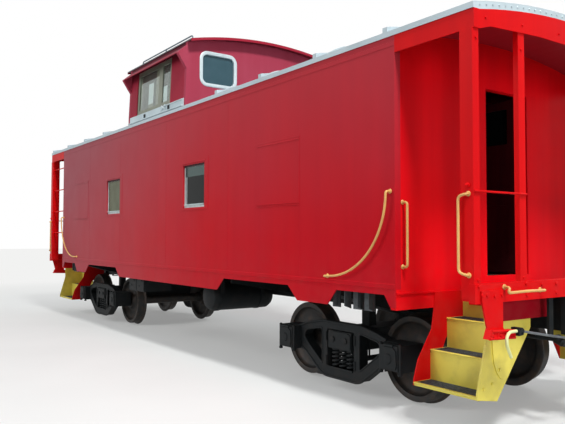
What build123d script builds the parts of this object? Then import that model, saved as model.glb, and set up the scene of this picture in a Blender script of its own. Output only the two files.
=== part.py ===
from build123d import *
import math
import os

# A steel cupola caboose on two four-wheel trucks, standing on its wheel flanges.
# Millimetres. X runs along the car (+X is the near end), Z is up, and Z 0 is the flange tips.
# "Left" is +Y and "right" is -Y, seen by someone inside who faces the near end.

# Whole car
body_half_length = 4831
body_half_width = 1462
platform_length = 869
sill_end_x = body_half_length + platform_length
seat_gap = 0.3
fit_clearance = 0.05

# Levels
floor_top_z = 1230
floor_thickness = 60
eave_z = 3430
deck_top_z = 1150
deck_thickness = 20

# Walls
wall_thickness = 70
sheet_thickness = 12
end_wall_thickness = 70

# Side sill profile, upper and lower edges with the slants between them
sill_upper_z = 1116
sill_lower_z = 965
centre_drop_half = 1666
slant_length = 170
tab_inner_x = body_half_length - 1447
tab_outer_x = body_half_length - 945
corner_drop_x = body_half_length - 140
corner_drop_z = 1011
corner_slant_length = 74
tab_slant_length = 136

# Roof
roof_edge_height = 50
roof_rise = 150
roof_thickness = 60
roof_overhang = 8
crown_flats = 16
seam_cap_width = 60
seam_cap_height = 45
seam_cap_first_x = 1630
seam_cap_pitch = 1030
seam_cap_count = 4
far_cap_shift = 860

# Side windows: x centre of each opening
window_width = 620
window_height = 592
window_sill_z = 2035
near_window_x = 1015
far_window_x = -1970
blank_width = 820
blank_height = 706
blank_bottom_z = 2000
blank_proud = 4
near_blank_x = 3010
far_blank_x = -3680
frame_rim = 26
frame_sill = 52
frame_recess = 22
frame_depth = 36
pane_thickness = 8

# Cupola
cupola_near_x = 640
cupola_far_x = -1450
cupola_wall = 60
cupola_base_half = body_half_width - 52
cupola_height = 1013
cupola_eave_z = eave_z + cupola_height
cupola_base_z = eave_z + 170
cupola_kink_half = cupola_base_half - 20
cupola_kink_z = cupola_eave_z - 403
wing_tip_half = cupola_base_half + 115
wing_tip_z = cupola_eave_z - 200
visor_root_z = cupola_eave_z - 71
visor_thickness = 14
cupola_eave_half = cupola_base_half - 25
cupola_rise = 167
cupola_roof_thickness = 18
cupola_roof_overhang = 125
sash_low_x = -1115
sash_split_x = -250
sash_high_x = 137
sash_head_z = cupola_eave_z - 128
sash_sill_z = sash_head_z - 703
sash_rim = 66
sash_depth = 30
sash_recess = 14
end_window_y = cupola_base_half - 540
end_window_width = 621
end_window_high_z = cupola_eave_z - 105
end_window_low_z = end_window_high_z - 516
end_window_corner = 125
corner_flats = 4
end_frame_rim = 50
end_frame_proud = 6

# End doors and doorways
door_half_width = 340
door_centre_y = 150
door_open_angle = 90
door_sill_z = 1250
door_height = 1870
door_head_z = door_sill_z + door_height
door_thickness = 45
door_gap = 6
door_window_high_z = door_head_z - 100
door_window_low_z = door_window_high_z - 380
door_window_half = 220
door_panel_low_z = door_sill_z + 150
door_panel_high_z = door_window_low_z - 660
door_panel_recess = 8
hinge_radius = 14
hinge_pin_radius = 6
hinge_leaf_thickness = 5
hinge_leaf_width = 60
knuckle_height = 40
knob_inset = 70
knob_z = door_sill_z + 930
knob_radius = 28
knob_length = 22
knuckle_gap = 0.5
hinge_levels = (door_sill_z + 230, door_head_z - 240)

# End platform
end_sill_low_z = 1116
end_sill_high_z = 1269
end_sill_depth = 60
end_sill_half = body_half_width + 18
step_well_end_x = sill_end_x - 140
step_plate = 15
body_end_sill_z = 987
ledge_z = 1127
ledge_depth = 14
bracket_depth = 16
bracket_foot_depth = 60
bracket_foot_y = body_half_width - 400

# Corner bracket below the end sill, and its thicker foot: distances in from the body's side, and levels
bracket_plate = ((40, 1215), (303, 1215), (303, 915), (400, 830), (68, 846), (104, 930), (42, 1150))
bracket_foot = ((400, 898), (400, 830), (68, 846), (100, 915))

# Steps
tread_run = 228
tread_levels = (348, 616, 886)
tread_thickness = 30
riser_thickness = 8
skirt_thickness = 10
first_riser_y = body_half_width - 429
nosing_y = body_half_width - 210
well_inner_y = first_riser_y - 2 * tread_run - riser_thickness
deck_skirt_z = 1000
stringer_outer_y = body_half_width - 490
lit_riser_length = 82
# Stringer beside the body, and the plate at the treads' outer ends: distances in from the side, and levels
stringer_edge = (
    (490, 1011), (452, 793), (270, 534), (218, 371), (212, 318),
    (432, 318), (547, 500), (612, 640), (642, 700),
)
stringer_toe_z = 850
step_plate_edge = ((424, 291), (175, 331), (174, 372), (283, 760))
step_plate_toe_z = 860
step_plate_outer_y = body_half_width - 283

# End posts
post_depth = 125
post_flange = 12
corner_post_outer_y = body_half_width + 12
corner_post_front_width = 78
corner_post_back_width = 144
inner_post_outer_y = body_half_width - 577
inner_post_front_width = 83
inner_post_back_width = 140
inner_post_depth = 48
end_rail_z = 1990
end_rail_radius = 9
fascia_bottom_z = 3276
fascia_shoulder_z = 3317
fascia_centre_z = 3352
fascia_flat_y = body_half_width - 72
fascia_shoulder_y = body_half_width - 211
fascia_rise_y = body_half_width - 862

# Ladders
ladder_rung_z = (1729, 2183, 2637, 3091)
rung_radius = 11
ladder_rail_width = 40
ladder_inset = 30
ladder_rail_half = 6
ladder_rail_low_z = 1609
ladder_rail_high_z = 3270

# Hand brakes
brake_wheel_y = body_half_width - 727
brake_wheel_z = 2010
brake_wheel_outer = 204
brake_wheel_inner = 178
brake_wheel_half = 12
brake_wheel_standoff = 90
brake_case_depth = 40
brake_case_levels = (brake_wheel_z - 110, brake_wheel_z + 90)
brake_staff_radius = 13
brake_shaft_radius = 18

# Grab irons
grab_radius = 11
grab_standoff = 62
# Long side grab: distances in from the body's end, and levels
side_grab_route = ((60, 2039), (161, 1912), (214, 1642), (345, 1476), (499, 1356), (701, 1268), (935, 1245))
corner_grab_inset = 92
corner_grab_z = (1369, 1942)
post_grab_reach = 50
post_grab_feet_z = (1335, 1970)
post_grab_bends_z = (1385, 1920)
post_grab_foot_x = sill_end_x - 60
post_grab_rod_x = sill_end_x - 133
sill_grab_z = (1192, 1235)
sill_grab_y = (body_half_width - 822, body_half_width - 340, body_half_width - 312)

# Cupola handrails
handrail_inset_y = 140
handrail_inset_x = (200, 100)
handrail_height = 90

# Underframe
centre_sill_low_z = 800
centre_sill_flange = 90
bolster_foot_z = 760
bolster_end_z = 1090
bearer_foot_z = 840
bearer_end_z = 1060
bearer_half = 8
side_bearing_half_x = 60
side_bearing_half_y = 50
side_bearing_top_z = 960
kingpin_low_z = 560
striker_half = 240
striker_low_z = 780
centre_sill_half = 175
sill_web = 20
truck_x = body_half_length - 1231
centre_plate_z = 680
centre_plate_radius = 150
kingpin_radius = 22.5
body_bolster_half = 150
side_bearing_y = 635
side_bearing_gap = 8
cross_bearer_x = (-1900, -650, 650, 1900)

# Trucks
axle_offset = 838
# Lower then upper edge of half a side frame: distances from its middle, and levels
side_frame_edge = (
    (0, 130), (250, 130), (330, 152), (600, 350), (693, 385),
    (983, 385), (983, 610), (693, 625), (560, 668), (330, 716),
)
side_frame_hole = ((300, 645), (590, 590), (640, 520), (560, 440), (300, 250))
frame_window_high_z = 640
journal_box_half = 145
journal_box_z = (360, 616)
journal_lid_half = 120
journal_lid_z = (372, 606)
bolster_arm_half_y = 1060
bolster_arm_top_z = 630
bolster_middle_half_y = 880
axle_z = 444
tread_radius = 419
wheel_outer_y = 820
wheel_sides = 48
flange_back_y = 660
flange_width = 38
wheel_plate_y = 765
wheel_rim_inner = 345
wheel_hub_radius = 130
axle_radius = 76
journal_radius = 62.5
journal_end_y = 1082
side_frame_y = 990
side_frame_half = 60
journal_box_inner_y = 850
journal_box_outer_y = 1130
journal_lid_y = 1165
truck_bolster_half = 185
frame_window_half = 216
frame_window_low_z = 244
spring_top_z = 440
bolster_top_z = 660
spring_radius = 62
spring_x = (-118, 118)
brake_shoe_gap = 6
brake_shoe_thickness = 46
brake_shoe_y = 755
brake_shoe_half = 42
brake_beam_x = 290
brake_beam_z = 380
brake_beam_radius = 28
brake_arm_end_x = 385
brake_arm_half_z = 25

# Couplers
coupler_z = 901
coupler_face_x = sill_end_x + 460
coupler_neck_x = sill_end_x + 160
shank_half = 75
shank_length = 420
coupler_head_half = 140
lever_radius = 10
lever_end_z = 735
lever_lug_width = 60
lever_lug_z = (850, 915)
lifter_y = 60
# The lever from its middle to the tip of its handle: distances in from the body's side, and levels
lever_route = ((762, 830), (446, 886), (272, 893), (237, 850), (254, 786), (307, 709))

# Underbody equipment
tank_x = 1000
tank_z = 820
tank_radius = 200
tank_low_y = -1240
tank_high_y = -220
strap_y = (-1100, -450)
strap_half_x = 20
strap_half_y = 25
brake_cylinder_y = 520
brake_cylinder_z = 860
brake_cylinder_radius = 150
brake_cylinder_half = 300
cylinder_bracket_half = 60
cylinder_bracket_low_z = 990
battery_box_x = (-1400, -800)
battery_box_y = (-1380, -900)
battery_box_low_z = 760

BOTH = (-1, 1)


def at(axis, u, v, w):
    """The point at w along the named axis and u, v along the other two, taken in X, Y, Z order."""
    return {"x": (w, u, v), "y": (u, w, v), "z": (u, v, w)}[axis]


def along(axis):
    return {"x": Vector(1, 0, 0), "y": Vector(0, 1, 0), "z": Vector(0, 0, 1)}[axis]


def prism(axis, low, high, points):
    """A polygon given across the axis, extruded from low to high along it."""
    low, high = min(low, high), max(low, high)
    face = Face(Wire.make_polygon([at(axis, u, v, low) for u, v in points]))
    return Solid.extrude(face, along(axis) * (high - low))


def block(x, y, z):
    """A box between two values on each axis, in either order."""
    lows = [min(span) for span in (x, y, z)]
    sizes = [abs(span[1] - span[0]) for span in (x, y, z)]
    return Solid.make_box(*sizes).moved(Location(tuple(lows)))


def cylinder(axis, u, v, radius, low, high):
    """A round bar along the axis at u, v, from low to high."""
    low, high = min(low, high), max(low, high)
    plane = Plane(origin=at(axis, u, v, low), z_dir=along(axis))
    return Solid.make_cylinder(radius, high - low, plane)


def joined(*solids):
    return Part() + list(solids)


def rod(points, radius):
    """An eight-sided rod along straight runs, mitred where they meet."""
    path = Polyline(*points)
    section = Plane(origin=path @ 0, z_dir=path % 0) * RegularPolygon(radius, 8)
    return sweep(section, path=path, transition=Transition.RIGHT)


def ring_prism(axis, u, v, outer, inner, low, high, sides):
    """A many-sided ring across the axis."""
    turns = [2 * math.pi * step / sides for step in range(sides)]
    rim = prism(axis, low, high, [(u + outer * math.cos(a), v + outer * math.sin(a)) for a in turns])
    hole = prism(axis, low - 1, high + 1, [(u + inner * math.cos(a), v + inner * math.sin(a)) for a in turns])
    return rim - hole


def bar(axis, u, v, radius, low, high, sides=8):
    """A many-sided bar along the axis, for round parts that nothing runs on."""
    turns = [2 * math.pi * (step + 0.5) / sides for step in range(sides)]
    return prism(axis, low, high, [(u + radius * math.cos(a), v + radius * math.sin(a)) for a in turns])


def mirrored_y(points, side):
    return [(u * side, v) for u, v in points]


def from_side(points):
    """Outline points given as distances in from the body's side, as (y, z)."""
    return [(body_half_width - inward, z) for inward, z in points]


def crown(half, edge_z, rise, low_x, high_x):
    """The solid under a crowned surface of narrow flats that meet on one arc.

    The arc passes (half, edge_z) on both sides and edge_z + rise in the middle; its radius is
    (half^2 + rise^2) / (2 rise).
    """
    radius = (half**2 + rise**2) / (2 * rise)
    spread = math.asin(half / radius)
    centre_z = edge_z + rise - radius
    angles = [spread * (2 * step / crown_flats - 1) for step in range(crown_flats + 1)]
    surface = [(radius * math.sin(a), centre_z + radius * math.cos(a)) for a in angles]
    return prism("x", low_x, high_x, surface + [(half, 0), (-half, 0)])


nodes = {}


# Side walls: an outer sheet with the stepped sill edge, and a lined wall above the floor
def sill_outline():
    """Half of the sheet's lower edge from the middle of the car to its end, as (x, z)."""
    return [
        (0, sill_lower_z),
        (centre_drop_half, sill_lower_z),
        (centre_drop_half + slant_length, sill_upper_z),
        (tab_inner_x - slant_length, sill_upper_z),
        (tab_inner_x, sill_lower_z),
        (tab_outer_x, sill_lower_z),
        (tab_outer_x + tab_slant_length, sill_upper_z),
        (corner_drop_x, sill_upper_z),
        (corner_drop_x + corner_slant_length, corner_drop_z),
        (body_half_length, corner_drop_z),
    ]


def side_wall(side):
    near_edge = sill_outline()
    far_edge = [(-x, z) for x, z in reversed(near_edge[1:])]
    sheet_points = far_edge + near_edge + [(body_half_length, eave_z), (-body_half_length, eave_z)]
    sheet = prism("y", side * (body_half_width - sheet_thickness), side * body_half_width, sheet_points)
    lining_low_z = floor_top_z - floor_thickness
    lining = block(
        (-body_half_length, body_half_length),
        (side * (body_half_width - wall_thickness), side * (body_half_width - sheet_thickness)),
        (lining_low_z, eave_z),
    )
    wall = joined(sheet, lining)
    for x in (near_blank_x, far_blank_x, near_window_x, far_window_x):
        wall += block(
            (x - blank_width / 2, x + blank_width / 2),
            (side * body_half_width, side * (body_half_width + blank_proud)),
            (blank_bottom_z, blank_bottom_z + blank_height),
        )
    for x in (near_window_x, far_window_x):
        wall -= block(
            (x - window_width / 2, x + window_width / 2),
            (side * (body_half_width - 2 * wall_thickness), side * (body_half_width + wall_thickness)),
            (window_sill_z, window_sill_z + window_height),
        )
    return wall


nodes["side_wall_right"] = side_wall(-1)
nodes["side_wall_left"] = side_wall(1)


# Side windows: a rim that fills the opening's edge, and a pane let into it
def window_ring(x, side):
    outer_y = side * (body_half_width - frame_recess)
    inner_y = outer_y - side * frame_depth
    half = window_width / 2
    ring = block((x - half, x + half), (outer_y, inner_y), (window_sill_z, window_sill_z + window_height))
    inner = half - frame_rim
    ring -= block(
        (x - inner, x + inner),
        (outer_y + side, inner_y - side),
        (window_sill_z + frame_sill, window_sill_z + window_height - frame_rim),
    )
    return ring


def window_pane(x, side):
    inner = window_width / 2 - frame_rim
    middle_y = body_half_width - frame_recess - frame_depth / 2
    return block(
        (x - inner, x + inner),
        (side * (middle_y - pane_thickness / 2), side * (middle_y + pane_thickness / 2)),
        (window_sill_z + frame_sill, window_sill_z + window_height - frame_rim),
    )


window_places = [(x, side) for x in (near_window_x, far_window_x) for side in BOTH]
nodes["body_window_frames"] = joined(*[window_ring(x, side) for x, side in window_places])
nodes["body_window_glass"] = joined(*[window_pane(x, side) for x, side in window_places])


# Floor, resting on the underframe
floor_bottom_z = floor_top_z - floor_thickness
inner_half_width = body_half_width - wall_thickness
nodes["floor"] = block(
    (end_wall_thickness - body_half_length, body_half_length - end_wall_thickness),
    (-inner_half_width, inner_half_width),
    (floor_bottom_z, floor_top_z),
)


# Roof: a crowned shell with a hole for the cupola, and seam caps across it
roof_half = body_half_width + roof_overhang
roof_edge_z = eave_z + roof_edge_height
ceiling_half = body_half_width - wall_thickness
ceiling_rise = roof_rise - (roof_thickness - roof_edge_height)


def under_roof(low_x, high_x):
    return crown(ceiling_half, eave_z, ceiling_rise, low_x, high_x)


def roof_shell():
    shell = crown(roof_half, roof_edge_z, roof_rise, -sill_end_x, sill_end_x)
    shell -= block((-sill_end_x, sill_end_x), (-roof_half, roof_half), (0, eave_z))
    shell -= under_roof(-sill_end_x, sill_end_x)
    caps = []
    for step in range(seam_cap_count):
        x = seam_cap_first_x + step * seam_cap_pitch
        far_x = -(x + far_cap_shift)
        caps += [x, far_x] if far_x > -sill_end_x + seam_cap_width else [x]
    for x in caps:
        low_x = x - seam_cap_width / 2
        high_x = x + seam_cap_width / 2
        cap = crown(roof_half, roof_edge_z + seam_cap_height, roof_rise, low_x, high_x)
        cap -= crown(roof_half, roof_edge_z, roof_rise, low_x, high_x)
        shell += cap
    hole_y = (-cupola_base_half, cupola_base_half)
    shell -= block((cupola_far_x, cupola_near_x), hole_y, (eave_z - roof_thickness, eave_z + 2 * roof_rise))
    return shell


nodes["roof"] = roof_shell()


# End walls with their doorways, closed at the top by the roof's underside and at the foot by an end beam
def end_wall(end):
    outer_x = end * body_half_length
    inner_x = end * (body_half_length - end_wall_thickness)
    across = (-inner_half_width, inner_half_width)
    wall = block((inner_x, outer_x), across, (floor_bottom_z, eave_z + roof_rise))
    wall &= crown(ceiling_half, eave_z - seat_gap, ceiling_rise, inner_x, outer_x)
    for side in BOTH:
        wall += block(
            (inner_x, outer_x),
            (side * centre_sill_half, side * (body_half_width - sheet_thickness)),
            (body_end_sill_z, floor_bottom_z),
        )
        wall += block(
            (outer_x, outer_x + end * ledge_depth),
            (side * stringer_outer_y, side * (body_half_width - sheet_thickness)),
            (ledge_z, ledge_z + ledge_depth),
        )
    wall -= block(
        (inner_x - end, outer_x + end),
        (end * door_centre_y - door_half_width, end * door_centre_y + door_half_width),
        (door_sill_z, door_head_z),
    )
    for z in hinge_levels:
        wall += frame_hinge(end, z)
    return wall


# Butt hinges: two knuckles and the pin stay with the wall, and the middle knuckle is the door's
hinge_y = door_centre_y + door_half_width - 3
jamb_y = door_centre_y + door_half_width


def hinge_x(end):
    return end * (body_half_length - end_wall_thickness - hinge_radius)


def frame_hinge(end, z):
    inner_x = end * (body_half_length - end_wall_thickness)
    x, y = hinge_x(end), end * hinge_y
    parts = []
    for shift in BOTH:
        low = z + shift * (knuckle_height + knuckle_gap) - knuckle_height / 2
        high = low + knuckle_height
        leaf_y = (end * (jamb_y + 1), end * (jamb_y + hinge_leaf_width))
        web_y = (end * (hinge_y + 2), end * (jamb_y + 1))
        parts.append(bar("z", x, y, hinge_radius, low, high))
        parts.append(block((inner_x, inner_x - end * hinge_leaf_thickness), leaf_y, (low, high)))
        parts.append(block((inner_x, inner_x - end * hinge_radius), web_y, (low, high)))
    pin = cylinder("z", x, y, hinge_pin_radius, z - 1.5 * knuckle_height, z + 1.5 * knuckle_height)
    return joined(*parts, pin)


nodes["end_wall_near"] = end_wall(1)
nodes["end_wall_far"] = end_wall(-1)


# End doors, swinging inward on their hinges; the near one stands open
def end_door(end):
    inner_x = end * (body_half_length - end_wall_thickness)
    outer_x = inner_x + end * door_thickness
    half = door_half_width - door_gap
    centre_y = end * door_centre_y
    door = block(
        (inner_x, outer_x),
        (centre_y - half, centre_y + half),
        (door_sill_z + door_gap, door_head_z - door_gap),
    )
    door -= block(
        (inner_x - end, outer_x + end),
        (centre_y - door_window_half, centre_y + door_window_half),
        (door_window_low_z, door_window_high_z),
    )
    door -= block(
        (outer_x - end * door_panel_recess, outer_x + end),
        (centre_y - door_window_half, centre_y + door_window_half),
        (door_panel_low_z, door_panel_high_z),
    )
    x, y = hinge_x(end), end * hinge_y
    for z in hinge_levels:
        low = z - knuckle_height / 2
        high = low + knuckle_height
        leaf = block(
            (inner_x, inner_x - end * hinge_leaf_thickness),
            (end * (hinge_y - 4), centre_y + end * (half - hinge_leaf_width)),
            (low, high),
        )
        door += joined(bar("z", x, y, hinge_radius, low, high), leaf)
        door -= cylinder("z", x, y, hinge_pin_radius + fit_clearance, low - 1, high + 1)
    knob_y = centre_y - end * (half - knob_inset)
    door += bar("x", knob_y, knob_z, knob_radius, outer_x, outer_x + end * knob_length)
    return door


def door_pane(end):
    middle_x = end * (body_half_length - end_wall_thickness + door_thickness / 2)
    centre_y = end * door_centre_y
    return block(
        (middle_x - pane_thickness / 2, middle_x + pane_thickness / 2),
        (centre_y - door_window_half, centre_y + door_window_half),
        (door_window_low_z, door_window_high_z),
    )


def swung_open(shape, end):
    """The shape turned inward about the door's hinge."""
    hinge = Pos(hinge_x(end), end * hinge_y, 0)
    return hinge * Rot(0, 0, -door_open_angle) * hinge.inverse() * shape


for end, name in ((1, "near"), (-1, "far")):
    door, pane = end_door(end), door_pane(end)
    if end == 1:
        door, pane = swung_open(door, end), swung_open(pane, end)
    nodes[f"{name}_door"] = door
    nodes[f"{name}_door_glass"] = pane


# Cupola
cupola_roof_low_x = cupola_far_x - cupola_roof_overhang
cupola_roof_high_x = cupola_near_x + cupola_roof_overhang
cupola_under_z = cupola_eave_z - cupola_roof_thickness
cupola_lean = (cupola_base_half - cupola_kink_half) / (cupola_kink_z - cupola_base_z)


def wall_face_y(z):
    """The outer face of the leaning cupola side at a height."""
    return cupola_base_half - cupola_lean * (z - cupola_base_z)


def cupola_roof():
    slab = crown(cupola_eave_half, cupola_eave_z, cupola_rise, cupola_roof_low_x, cupola_roof_high_x)
    return slab - crown(cupola_eave_half, cupola_under_z, cupola_rise, cupola_roof_low_x, cupola_roof_high_x)


def visor(side):
    """The sloping plate over the side windows, from the wall down to the wing tips."""
    outline = [
        (wall_face_y(visor_root_z) - cupola_wall / 2, visor_root_z + visor_thickness),
        (wall_face_y(visor_root_z), visor_root_z + visor_thickness),
        (wing_tip_half, wing_tip_z + visor_thickness),
        (wing_tip_half, wing_tip_z),
        (wall_face_y(visor_root_z), visor_root_z - visor_thickness),
        (wall_face_y(visor_root_z) - cupola_wall / 2, visor_root_z - visor_thickness),
    ]
    return prism("x", cupola_far_x + cupola_wall, cupola_near_x - cupola_wall, mirrored_y(outline, side))


def cupola_end(low_x, high_x):
    """A flat end wall whose outline leans in, then flares to a wing tip beside the visor."""
    outline = [
        (cupola_base_half, eave_z + 1),
        (cupola_base_half, cupola_base_z),
        (cupola_kink_half, cupola_kink_z),
        (wing_tip_half, wing_tip_z),
        (wing_tip_half, wing_tip_z + visor_thickness),
        (wall_face_y(visor_root_z), visor_root_z + visor_thickness),
        (cupola_eave_half - roof_overhang, cupola_under_z),
        (cupola_eave_half - roof_overhang, cupola_under_z + cupola_rise),
    ]
    far_side = [(-y, z) for y, z in reversed(outline)]
    wall = prism("x", low_x, high_x, outline + far_side)
    above = block(
        (low_x, high_x),
        (-cupola_eave_half, cupola_eave_half),
        (cupola_under_z, cupola_under_z + 2 * cupola_rise),
    )
    wall -= above - crown(cupola_eave_half, cupola_under_z, cupola_rise, low_x, high_x)
    for side in BOTH:
        wall -= rounded_opening(low_x - 1, high_x + 1, side * end_window_y, 0)
    return wall


def rounded_opening(low, high, centre_y, inset):
    """A slab as large as the end window, less an inset, with each corner in short flats on an arc."""
    corner = end_window_corner - inset
    flat_y = end_window_width / 2 - end_window_corner
    flat_z = (end_window_high_z - end_window_low_z) / 2 - end_window_corner
    middle_z = (end_window_low_z + end_window_high_z) / 2
    outline = []
    for quarter, (sign_y, sign_z) in enumerate(((1, 1), (-1, 1), (-1, -1), (1, -1))):
        for step in range(corner_flats + 1):
            angle = math.pi / 2 * (quarter + step / corner_flats)
            y = centre_y + sign_y * flat_y + corner * math.cos(angle)
            outline.append((y, middle_z + sign_z * flat_z + corner * math.sin(angle)))
    return prism("x", low, high, outline)


def cupola_side(side):
    """The leaning side wall between the end walls, with its window opening and its visor."""
    top_z = cupola_under_z
    outline = [
        (cupola_base_half, eave_z + 1),
        (cupola_base_half, cupola_base_z),
        (wall_face_y(top_z), top_z),
        (wall_face_y(top_z) - cupola_wall, top_z),
        (cupola_base_half - cupola_wall, cupola_base_z),
        (cupola_base_half - cupola_wall, eave_z + 1),
    ]
    wall = prism("x", cupola_far_x + cupola_wall, cupola_near_x - cupola_wall, mirrored_y(outline, side))
    wall -= block(
        (sash_low_x, sash_high_x),
        (side * (cupola_base_half - 4 * cupola_wall), side * (cupola_base_half + 2 * cupola_wall)),
        (sash_sill_z, sash_head_z),
    )
    return wall + visor(side)


def sash(side, low_x, high_x):
    """One window sash parallel to the leaning wall, as a rim, and its pane."""

    def slab(inset, near, thickness):
        low_z = sash_sill_z + inset
        high_z = sash_head_z - inset
        outline = [
            (wall_face_y(low_z) - near, low_z),
            (wall_face_y(high_z) - near, high_z),
            (wall_face_y(high_z) - near - thickness, high_z),
            (wall_face_y(low_z) - near - thickness, low_z),
        ]
        return prism("x", low_x + inset, high_x - inset, mirrored_y(outline, side))

    rim = slab(0, sash_recess, sash_depth) - slab_through(side, low_x, high_x)
    pane = slab(sash_rim, sash_recess + sash_depth / 2 - pane_thickness / 2, pane_thickness)
    return rim, pane


def slab_through(side, low_x, high_x):
    return block(
        (low_x + sash_rim, high_x - sash_rim),
        (side * (cupola_base_half - 4 * cupola_wall), side * (cupola_base_half + 2 * cupola_wall)),
        (sash_sill_z + sash_rim, sash_head_z - sash_rim),
    )


nodes["cupola_roof"] = cupola_roof()
nodes["cupola_end_near"] = cupola_end(cupola_near_x - cupola_wall, cupola_near_x)
nodes["cupola_end_far"] = cupola_end(cupola_far_x, cupola_far_x + cupola_wall)
nodes["cupola_side_right"] = cupola_side(-1)
nodes["cupola_side_left"] = cupola_side(1)

sash_rims = []
cupola_panes = []
for side in BOTH:
    for low_x, high_x in ((sash_low_x, sash_split_x), (sash_split_x, sash_high_x)):
        rim, pane = sash(side, low_x, high_x)
        sash_rims.append(rim)
        cupola_panes.append(pane)
end_rings = []
for face_x, outward in ((cupola_near_x, 1), (cupola_far_x, -1)):
    low_x, high_x = sorted((face_x - outward * cupola_wall, face_x + outward * end_frame_proud))
    middle_x = face_x - outward * cupola_wall / 2
    for side in BOTH:
        ring = rounded_opening(low_x, high_x, side * end_window_y, 0)
        ring -= rounded_opening(low_x - 1, high_x + 1, side * end_window_y, end_frame_rim)
        end_rings.append(ring)
        pane_low = middle_x - pane_thickness / 2
        cupola_panes.append(
            rounded_opening(pane_low, pane_low + pane_thickness, side * end_window_y, end_frame_rim)
        )
nodes["cupola_sashes"] = joined(*sash_rims)
nodes["cupola_end_frames"] = joined(*end_rings)
nodes["cupola_glass"] = joined(*cupola_panes)


# Roof end fascias: a plate across the end and one along each side over the platform
def end_fascia(end):
    inner_x = end * body_half_length
    outer_x = end * sill_end_x
    sheet = sheet_thickness
    front = [
        (-body_half_width, fascia_bottom_z),
        (-fascia_flat_y, fascia_bottom_z),
        (-fascia_shoulder_y, fascia_shoulder_z),
        (-fascia_rise_y, fascia_centre_z),
        (fascia_rise_y, fascia_centre_z),
        (fascia_shoulder_y, fascia_shoulder_z),
        (fascia_flat_y, fascia_bottom_z),
        (body_half_width, fascia_bottom_z),
        (body_half_width, eave_z + roof_rise),
        (-body_half_width, eave_z + roof_rise),
    ]
    fascia = prism("x", outer_x - end * sheet, outer_x, front)
    limit = crown(ceiling_half, eave_z - seat_gap, ceiling_rise, inner_x, outer_x)
    limit += block((inner_x, outer_x), (-body_half_width, body_half_width), (fascia_bottom_z, eave_z))
    fascia &= limit
    for side in BOTH:
        fascia += block(
            (inner_x, outer_x),
            (side * (body_half_width - sheet), side * body_half_width),
            (fascia_bottom_z, eave_z),
        )
    return fascia


# Platforms: deck, end sill, inner step stringers, deck skirts and the corner brackets
def platform(end):
    deck_low_z = deck_top_z - deck_thickness
    front_x = sill_end_x
    back_x = sill_end_x - end_sill_depth
    deck_z = (deck_low_z, deck_top_z)
    sill_z = (end_sill_low_z, end_sill_high_z)
    parts = [
        block((end * body_half_length, end * step_well_end_x), (-well_inner_y, well_inner_y), deck_z),
        block((end * step_well_end_x, end * back_x), (-body_half_width, body_half_width), deck_z),
        block((end * back_x, end * front_x), (-end_sill_half, end_sill_half), sill_z),
    ]
    for side in BOTH:
        stringer = [
            (well_inner_y, deck_low_z),
            (stringer_outer_y, deck_low_z),
            *from_side(stringer_edge),
            (well_inner_y, stringer_toe_z),
        ]
        inner_x = body_half_length + sheet_thickness
        parts.append(prism("x", end * body_half_length, end * inner_x, mirrored_y(stringer, side)))
        skirt_x = (end * (inner_x + lit_riser_length), end * (step_well_end_x - step_plate))
        skirt_outer_y = well_inner_y + 2 * skirt_thickness
        skirt_y = (side * (well_inner_y + riser_thickness), side * skirt_outer_y)
        parts.append(block(skirt_x, skirt_y, (deck_skirt_z, deck_low_z)))
        parts.append(block(skirt_x, (side * well_inner_y, side * skirt_outer_y), (deck_low_z, deck_top_z)))
        for edge, depth in ((bracket_plate, bracket_depth), (bracket_foot, bracket_foot_depth)):
            outline = mirrored_y(from_side(edge), side)
            parts.append(prism("x", end * front_x, end * (front_x + depth), outline))
    return joined(*parts)


# Steps: risers behind the treads and a plate at their outer ends
def steps(end):
    low_x = body_half_length + sheet_thickness
    high_x = step_well_end_x - step_plate
    deck_low_z = deck_top_z - deck_thickness
    parts = []
    for side in BOTH:
        for index, level in enumerate(tread_levels):
            riser_y = first_riser_y - index * tread_run
            top = deck_low_z if index == 2 else tread_levels[index + 1] - tread_thickness
            parts.append(
                block(
                    (end * low_x, end * high_x),
                    (side * (riser_y - riser_thickness), side * riser_y),
                    (level - tread_thickness, top),
                )
            )
        plate = [
            (well_inner_y + seat_gap, deck_low_z),
            (well_inner_y + seat_gap, step_plate_toe_z),
            *from_side(step_plate_edge),
            (step_plate_outer_y, deck_low_z),
        ]
        parts.append(prism("x", end * high_x, end * step_well_end_x, mirrored_y(plate, side)))
    return joined(*parts)


def treads(end):
    parts = []
    for side in BOTH:
        for index, level in enumerate(tread_levels):
            riser_y = first_riser_y - index * tread_run
            outer_y = nosing_y if index == 0 else riser_y + tread_run
            parts.append(
                block(
                    (end * (body_half_length + sheet_thickness), end * (step_well_end_x - step_plate)),
                    (side * riser_y, side * outer_y),
                    (level - tread_thickness, level),
                )
            )
    return parts


# End posts of Z section, and the round rails between them
def z_post(end, side, front_x, depth, outer_y, front_width, back_width, low_z, high_z):
    """Front flange, web at the outer edge, and a wider back flange."""
    back_x = front_x - depth
    tall = (low_z, high_z)
    front_x_span = (end * (front_x - post_flange), end * front_x)
    back_x_span = (end * back_x, end * (back_x + post_flange))
    return joined(
        block(front_x_span, (side * (outer_y - front_width), side * outer_y), tall),
        block((end * back_x, end * front_x), (side * (outer_y - post_flange), side * outer_y), tall),
        block(back_x_span, (side * (outer_y - back_width), side * outer_y), tall),
    )


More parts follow.
